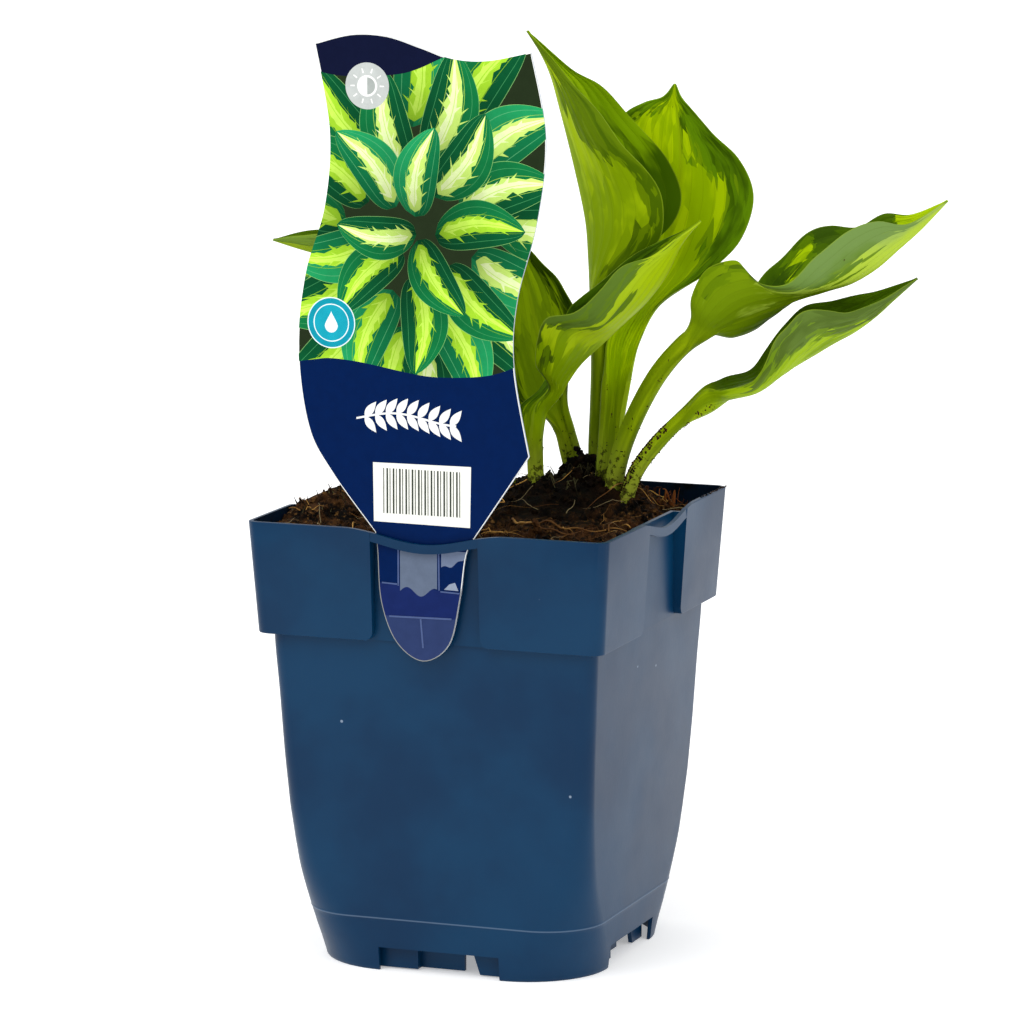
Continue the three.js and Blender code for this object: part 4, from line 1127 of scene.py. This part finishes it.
# crumbs of wet peat that stick to the stalks and, here and there, to the blades
STUCK_COUNT = 46
STUCK_ON_STALK = 40
RIM_DIRT_COUNT = 90
stuck = []
for name, rows in leaf_rows.items():
    stalk_count = len(LEAVES[name]["stalk"])
    stalk_share = stalk_count / (stalk_count + len(LEAVES[name]["blade"]) - 1)
    for k in range(STUCK_COUNT):
        low = k < STUCK_ON_STALK
        high = dice.random() ** 2.6
        t = (0.10 + 0.90 * high) * stalk_share * 1.1 if low else dice.uniform(stalk_share, 0.9)
        i, j = int(t * (len(rows) - 3)) + 1, dice.randrange(2, len(rows[0]) - 2)
        for m in range(dice.choice((1, 1, 2, 4, 6)) if low else 1):
            spot = rows[i + dice.randrange(-1, 2)][j + dice.randrange(-2, 3)]
            size = dice.uniform(0.08, 0.34)
            if spot.z > soil_height(spot.x, spot.y):
                stretch = Vector((size * dice.uniform(0.5, 1), size * 0.6, size * dice.uniform(0.8, 2)))
                stuck.append((dice.randrange(10), spot, stretch, any_turn()))
# and soil along the channel of the lower right stalk, and hanging on its under edge
for start, stop, first, last, count, large in ((1.3, 3.6, 48, 59, 330, 0.6), (2.6, 5.2, 74, 90, 50, 0.42)):
    for k in range(count):
        row = leaf_rows["leaf_lower_right"][int(ROWS_PER_STATION * dice.uniform(start, stop))]
        size = dice.uniform(0.15, large)
        spot = row[dice.randrange(first, last)]
        stuck.append((dice.randrange(10), spot, Vector((size, size * 0.6, size * 1.3)), any_turn()))

# dirt left on the rim's far right corner
for k in range(RIM_DIRT_COUNT):
    along = dice.random() ** 0.6
    spot = Vector((dice.uniform(51.5, 52.2), 27 + 24.6 * along, POT_HEIGHT + 0.02))
    size = dice.uniform(0.1, 0.4)
    stuck.append((dice.randrange(10), spot, Vector((size, size * 1.2, size * 0.5)), any_turn()))
grit = strewn("stuck_crumbs", crumb_shapes, stuck)
dress(grit, earth)
hand_over(grit, "soil")

# Label
# A stiff plastic sheet, cut to an S-shaped outline and printed in glossy colours, with a tongue that is
# pushed into the slot of the pot's front. The print is a plain design of leaves, discs and bars.
LABEL_FRONT = -50.8
LABEL_THICK = 0.6
WHITE_BORDER = 0.22
WHITE_INK = "f0f2ee"


def line_through(points, steps):
    return [tuple(through_points(points, t)) for t in evenly(0, 1, steps)]


# top, right side, tongue and left side
label_outline = line_through([
    (-31.5, 257.3), (-21, 260), (-10.8, 259.8), (-1, 257), (8, 254.2), (18, 253.9), (30.5, 256.5)], 42)
label_outline += line_through([
    (30.5, 256.5), (34.7, 234), (32.2, 211.4), (26.5, 190), (25.6, 172), (30, 148)], 60)[1:]
label_outline += line_through([
    (14.6, 125.5), (11.8, 120), (10, 107.7), (6.8, 95), (-0.8, 90.1), (-8.6, 95), (-13, 106), (-14, 120),
    (-14.6, 125)], 56)[1:]
label_outline += line_through([
    (-14.6, 125), (-27, 140.5), (-34, 153), (-36.9, 174), (-34.6, 195), (-28.9, 213.4), (-27.3, 234),
    (-31.5, 257.3)], 70)[1:-1]
label_outline.reverse()


def inset_outline(points, by):
    """The outline drawn in by a small distance on every side."""
    drawn = []
    for (x0, z0), (x1, z1), (x2, z2) in zip(points[-1:] + points[:-1], points, points[1:] + points[:1]):
        dx, dz = x2 - x0, z2 - z0
        length = math.hypot(dx, dz)
        drawn.append((x1 - dz / length * by, z1 + dx / length * by))
    return drawn


# the print: each shape has its corners, its ink, the number of the shape that it stays within, and its light
prints = []
WHOLE_SHEET = 0
NAVY_FIELD = 1


def print_shape(points, ink, within=NAVY_FIELD, shine=None):
    """Adds a flat coloured shape, its corners counter-clockwise, over those printed before it."""
    turning = sum(a[0] * b[1] - b[0] * a[1] for a, b in zip(points, points[1:] + points[:1]))
    prints.append((points if turning > 0 else points[::-1], ink, within, shine))
    return len(prints) - 1


def disc(x, z, radius, count=40):
    return [(x + radius * math.cos(6.2832 * i / count), z + radius * math.sin(6.2832 * i / count))
            for i in range(count)]


def turned_shape(points, x, z, a):
    """A shape drawn along its own axis, turned by an angle and set down at x, z."""
    ca, sa = math.cos(a), math.sin(a)
    return [(x + r * ca - w * sa, z + r * sa + w * ca) for r, w in points]


print_shape(label_outline, WHITE_INK, None)
print_shape(inset_outline(label_outline, WHITE_BORDER), "001b4b", WHOLE_SHEET)

# the picture, between the navy lens at the top and the wave below
lens_edge = line_through([
    (-30.6, 250.2), (-28.6, 249.4), (-22.8, 248.8), (-15, 249.0), (-6.9, 249.8), (-1.2, 251.5), (6, 254.7),
    (12, 256)], 30)
wave_edge = line_through([
    (-40, 170.4), (-36.5, 170.9), (-32, 171.6), (-27.6, 172.1), (-20.3, 171.6), (-13.6, 170.6), (-7.2, 169.5),
    (0, 168.5), (7.3, 168.4), (15.9, 169.1), (21.7, 170.4), (28, 173)], 44)
print_shape(lens_edge + [(12, 262), (-40, 262), (-40, 250.2)], "0d1330")
PICTURE = print_shape(
    wave_edge + [(36, 200), (38, 240), (36, 262), (12, 262)] + lens_edge[::-1] + [(-40, 250.2)], "222e1a")


def printed_leaf(x, z, angle, length, width, greens, light, flip):
    """A drawn leaf: margin, shaded half, light middle that runs out in slanted fingers, and fine veins."""
    a = math.radians(angle)
    ca, sa = math.cos(a), math.sin(a)
    shine = (x, z, ca, sa, length, flip)

    def at_leaf(t, s):
        side = width / 2 * s * 1.62 * t ** 0.52 * (1 - t) ** 0.7
        droop = 0.10 * length * math.sin(math.pi * t) * flip
        along, aside = t * length, side + droop
        return (x + along * ca - aside * sa, z + along * sa + aside * ca)

    def band(low, high, start=0.0, stop=1.0, steps=24):
        """The part of the leaf between two lines along it."""
        first = [at_leaf(t, low) for t in evenly(start, stop, steps)]
        return first + [at_leaf(t, high) for t in evenly(start, stop, steps)][::-1]

    def fingers(low, high, start, stop, count):
        """The torn edge of the light middle: spikes that lean toward the tip."""
        edge = [at_leaf(start, 0.04 if low > 0 else -0.04)]
        for i in range(count):
            t = start + (stop - start) * (i + dice.uniform(0.1, 0.5)) / count
            narrow = 1 - 0.45 * i / count
            edge.append(at_leaf(t, low * narrow * dice.uniform(0.6, 1)))
            spike, root = min(0.96, t + dice.uniform(0.06, 0.14)), high * narrow * dice.uniform(0.6, 1)
            edge.append(at_leaf(spike, root))
            spike, root = min(0.93, t + dice.uniform(0.02, 0.05)), low * narrow * dice.uniform(0.8, 1.1)
            edge.append(at_leaf(spike, root))
        return edge + [at_leaf(0.985, 0.0)]

    def drawn(points, ink):
        print_shape(points, ink, PICTURE, shine)

    for low, high, ink in ((-1.02, 1.02, "7fb86a"), (-1, 1, greens[0]), (0, flip, greens[1])):
        # both lines meet at the tip and at the foot, where one point is enough
        outline = band(low, high)
        drawn(outline[:25] + outline[26:-1], ink)
    drawn(fingers(0.5, 0.86, 0.05, 0.8, 6) + fingers(-0.5, -0.86, 0.05, 0.8, 6)[::-1][1:], light[0])
    drawn(fingers(0.26, 0.55, 0.1, 0.75, 5) + [at_leaf(0.9 - 0.8 * i / 20, 0.0) for i in range(21)], light[1])
    drawn(fingers(-0.16, -0.42, 0.12, 0.7, 4) + [at_leaf(0.9 - 0.78 * i / 20, -0.03) for i in range(21)],
          light[1])
    for s in (-0.72, -0.4, 0.4, 0.72):
        drawn(band(s - 0.01, s + 0.01, 0.04, 0.96, 14), light[2] if abs(s) < 0.5 else greens[2])


def print_light(shine, x, z):
    """How bright the drawn leaf is at a point: dark at its foot, lit on one half and toward its tip."""
    x0, z0, ca, sa, length, flip = shine
    along = ((x - x0) * ca + (z - z0) * sa) / length
    aside = ((z - z0) * ca - (x - x0) * sa) / length
    lift = 0.38 + 0.95 * max(0.0, min(1.0, along)) ** 0.8
    return lift * (1 + 0.55 * flip * aside - 0.9 * aside * aside)


DEEP = ("06512c", "0d6a38", "3f8f58")
FRESH = ("0e6e40", "1c8a52", "56a770")
LIME = ("9fd22e", "c3ec58", "7fb626")
CREAM = ("c4e670", "e6f6b4", "9cc84e")
PRINTED_LEAVES = 31
SPIRAL_STEP = 137.5
# a spiral of leaves that open round a low centre, the outer ones first
for k in range(PRINTED_LEAVES, 0, -1):
    turn = 31 + k * SPIRAL_STEP
    out = 7.6 * math.sqrt(k) - 8.6
    lie = math.radians(turn)
    printed_leaf(-3 + 0.72 * out * math.cos(lie), 207 + out * math.sin(lie), turn + 7 * math.sin(k * 1.7),
                 21 + 2.2 * math.sqrt(k), 15 + 1.6 * math.sqrt(k), DEEP if k % 3 else FRESH,
                 CREAM if k % 5 in (1, 3) else LIME, 1 if k % 2 else -1)

# the tongue's lower lobe and the band above it, painted a lighter navy as sheen, and painted reflections of
# the light that its bowed cells catch
print_shape([(-20, 102.1), (-20, 84), (16, 84), (16, 102.3)], "2c3a63")
print_shape([(-20, 111.2), (-20, 102.1), (16, 102.3), (16, 109.6), (4.4, 109.9), (-7.9, 111.0)], "16255a")
sheen = [(-7.4 + 10.8 * k / 24, 109.2 + 1.2 * math.sin(k * 0.35)) for k in range(25)]
print_shape(sheen + [(3.4, 121.4), (-7.4, 121.4)], "5f6b80")
glint = [(4.6 + 7.4 * k / 12, 116.4 + 3.4 * (k / 12) ** 2 + 0.4 * math.sin(k)) for k in range(13)]
print_shape([(4.6, 121), (4.6, 117.5)] + glint + [(12, 121)], "6a7790")
print_shape([(5.4, 110.3), (9.6, 110.2), (8.6, 112.4), (7.0, 111.9)], "8e99ac")

# a pale disc with a half-shaded one and its rays
SHADE_X, SHADE_Z = -16.4, 246.3
print_shape(disc(SHADE_X, SHADE_Z, 6.3, 48), "c2c7c4")
print_shape(disc(SHADE_X, SHADE_Z, 2.9, 36), "f6f7f4")
half_turn = [i / 18 * math.pi - math.pi / 2 for i in range(19)]
print_shape([(SHADE_X + 2.3 * math.cos(a), SHADE_Z + 2.3 * math.sin(a)) for a in half_turn], "a9b0ac")
for k in range(10):
    ray = [(3.6, -0.22), (4.9, -0.16), (4.9, 0.16), (3.6, 0.22)]
    print_shape(turned_shape(ray, SHADE_X, SHADE_Z, k * math.pi / 5), "f6f7f4")

# a teal disc with a drop
BADGE_X, BADGE_Z = -27.2, 181.8
for radius, ink in ((7.0, "e8f4f6"), (6.7, "1296ab"), (5.2, "e8f4f6"), (4.9, "1aa3b8")):
    print_shape(disc(BADGE_X, BADGE_Z, radius, 56), ink)
drop = []
for i in range(30):
    a = i / 30 * 2 * math.pi
    lower = math.sin(a) < 0
    narrow = 1.0 if lower else math.cos(a) ** 2 * 0.35 + 0.65 * (1 - math.sin(a))
    drop.append((BADGE_X + 1.9 * math.cos(a) * max(0.0, narrow),
                 BADGE_Z - 0.7 + (2.0 if lower else 3.9) * math.sin(a)))
print_shape(drop, "f4fbfc")


def sprig_height(k):
    return 156.6 + 1.3 * math.sin(k * 0.55)


# a white sprig: pairs of small leaves along a wavy stem
SPRIG_FOOT = -17.5
SPRIG_STEP = 3.1
leaf_side = [(i / 12 * 5.4, 1.15 * math.sin(math.pi * (i / 12) ** 0.8)) for i in range(13)]
small_leaf = leaf_side + [(r, -w) for r, w in leaf_side[-2:0:-1]]
for k in range(9):
    for up in (1, -1):
        print_shape(turned_shape(
            small_leaf, SPRIG_FOOT + SPRIG_STEP * k, sprig_height(k), math.radians(52 * up)), WHITE_INK)
stem_line = [(x, sprig_height((x - SPRIG_FOOT) / SPRIG_STEP)) for x in evenly(-20, 9, 24)]
stem_under = [(x, z - 0.28) for x, z in reversed(stem_line)]
print_shape([(x, z + 0.28) for x, z in stem_line] + stem_under, WHITE_INK)

# a white panel of even bars, every other one wider
print_shape([(-15.0, 128.0), (13.0, 127.7), (13.3, 144.4), (-15.2, 144.2)], "f1f2ea")
for k in range(25):
    x = -12.2 + 0.92 * k
    w = 0.5 if k % 2 else 0.27
    print_shape([(x, 130.4), (x + w, 130.4), (x + w, 142.8), (x, 142.8)], "3a4038")

corners, loops = [], []
for points, ink, within, shine in prints:
    loops.append(list(range(len(corners), len(corners) + len(points))))
    corners += [Vector(p) for p in points]
# loose points inside the picture, so that the light on the drawn leaves runs smoothly
for i in range(52):
    for j in range(44):
        corners.append(Vector((-36.3 + 1.71 * j + 0.8 * (i % 2), 171.4 + 1.62 * i)))
cut = geometry.delaunay_2d_cdt(corners, [], loops, 1, 1e-5)
points = cut[0]
kept, shown = [], []
for face, found in zip(cut[2], cut[5]):
    if WHOLE_SHEET in found:
        kept.append(tuple(face))
        shown.append(max(k for k in found if k == WHOLE_SHEET or prints[k][2] in found))
sheet_mesh = bpy.data.meshes.new("plant_label")
sheet_mesh.from_pydata([(p.x * MM, LABEL_FRONT * MM, p.y * MM) for p in points], [], kept)
label = put_in("plant_label", sheet_mesh)

# the ink of each face, lit on the drawn leaves as the print is, and painted dark as shade on the white edge
# inside the slot
paint = sheet_mesh.color_attributes.new("ink", "FLOAT_COLOR", "CORNER")
for face, k in zip(sheet_mesh.polygons, shown):
    ink, within, shine = prints[k][1:]
    for corner, point in zip(face.loop_indices, face.vertices):
        x, z = points[point]
        light = print_light(shine, x, z) if shine else 1.0
        # painted shade: the white edge that sits down in the pot's slot is darkened
        if ink == WHITE_INK and z < 123 and (abs(x) > 12.2 or z < 110):
            light = 0.32
        paint.data[corner].color = [min(1.0, c * light) for c in tone(ink)[:3]] + [1.0]
only(label)
thicken(0, LABEL_THICK, 0)
paint = label.data.color_attributes["ink"]
# the back stays plain white; the cut edges are painted a darker grey-blue as shade
for face in label.data.polygons:
    if face.normal.y > -0.5:
        bare = tone("e2e4e0") if face.normal.y > 0.5 else tone("b9c0cc")
        for corner in face.loop_indices:
            paint.data[corner].color = (*bare[:3], 0.2)

# fold lines pressed into the tongue: their two ends and half their width
for x0, z0, x1, z1, w in (
    (-10.6, 102.0, 7.6, 102.3, 0.24), (-1.4, 101.8, -0.7, 93.8, 0.24), (-7.9, 120.5, -7.9, 110.6, 0.2),
    (3.9, 120.5, 4.0, 110.0, 0.2), (-12.7, 111.2, -7.9, 111.0, 0.2), (4.4, 109.7, 10.0, 109.5, 0.2),
):
    sx, sz = Vector((z0 - z1, x1 - x0)).normalized() * w
    fold = flat_plate([(x0 - sx, z0 - sz), (x1 - sx, z1 - sz), (x1 + sx, z1 + sz), (x0 + sx, z0 + sz)],
                      LABEL_FRONT - 0.12, LABEL_FRONT + 0.2)
    for corner in fold.data.color_attributes.new("ink", "FLOAT_COLOR", "CORNER").data:
        corner.color = tone("4c5c86")
    only(label)
    fold.select_set(True)
    bpy.ops.object.join()

gloss = Finish("printed_plastic", roughness=0.3, specular=0.03)
at = gloss.place()
painted = gloss.node("ShaderNodeVertexColor", layer_name="ink").outputs
uneven = gloss.ramp(gloss.grain(at, 330.0, 5.0, 0.7), 0.3, 0.7)
gloss.colour(gloss.node("ShaderNodeMix", {
    0: gloss.times(painted["Alpha"], 0.3), 6: painted["Color"],
    7: gloss.blend(uneven, (0.6, 0.6, 0.6, 1), (1, 1, 1, 1)),
}, data_type="RGBA", blend_type="MULTIPLY").outputs[2])
gloss.relief(gloss.grain(at, 45.0, 2.0), 0.0002, 0.25)
dress(label, gloss)
hand_over(label, "label", "label")

# Studio
# A white sweep of floor, an even pale sky, a large soft key light from the upper left and the camera.
bpy.ops.mesh.primitive_plane_add(size=30, location=(0, 0, 0))
ground = bpy.context.object
ground.name = "studio_floor"
paper = Finish("white_floor", roughness=0.9, specular=0.0)
paper.shader.inputs["Base Color"].default_value = (0.9, 0.9, 0.9, 1)
paper.shader.inputs["Emission Color"].default_value = (1, 1, 1, 1)
paper.shader.inputs["Emission Strength"].default_value = 0.35
ground.data.materials.append(paper.material)

world = bpy.data.worlds.new("studio")
bpy.context.scene.world = world
world.use_nodes = True
sky = world.node_tree.nodes["Background"].inputs
sky["Color"].default_value = (1, 1, 1, 1)
sky["Strength"].default_value = 0.85


def soft_sun(name, azimuth, elevation, strength, spread):
    bpy.ops.object.light_add(type="SUN")
    lamp = bpy.context.object
    lamp.name = name
    lamp.data.energy = strength
    lamp.data.angle = math.radians(spread)
    a, e = math.radians(azimuth), math.radians(elevation)
    away = Vector((math.sin(a) * math.cos(e), -math.cos(a) * math.cos(e), math.sin(e)))
    lamp.rotation_mode = "QUATERNION"
    lamp.rotation_quaternion = away.to_track_quat("Z", "Y")


soft_sun("key", -25, 48, 1.0, 40)
soft_sun("fill", 75, 35, 0.5, 60)

bpy.ops.object.camera_add(location=(0.52419, -1.38363, 0.37008))
camera = bpy.context.object
camera.rotation_mode = "QUATERNION"
aim = Vector((0.005322, 0.001993, 0.123434)) - camera.location
camera.rotation_quaternion = aim.to_track_quat("-Z", "Y")
camera.data.sensor_width = 36
camera.data.lens = 188.505
camera.data.clip_start = 0.05
camera.data.clip_end = 60
bpy.context.scene.camera = camera
bpy.context.scene.view_settings.view_transform = "Standard"
bpy.context.scene.view_settings.look = "None"
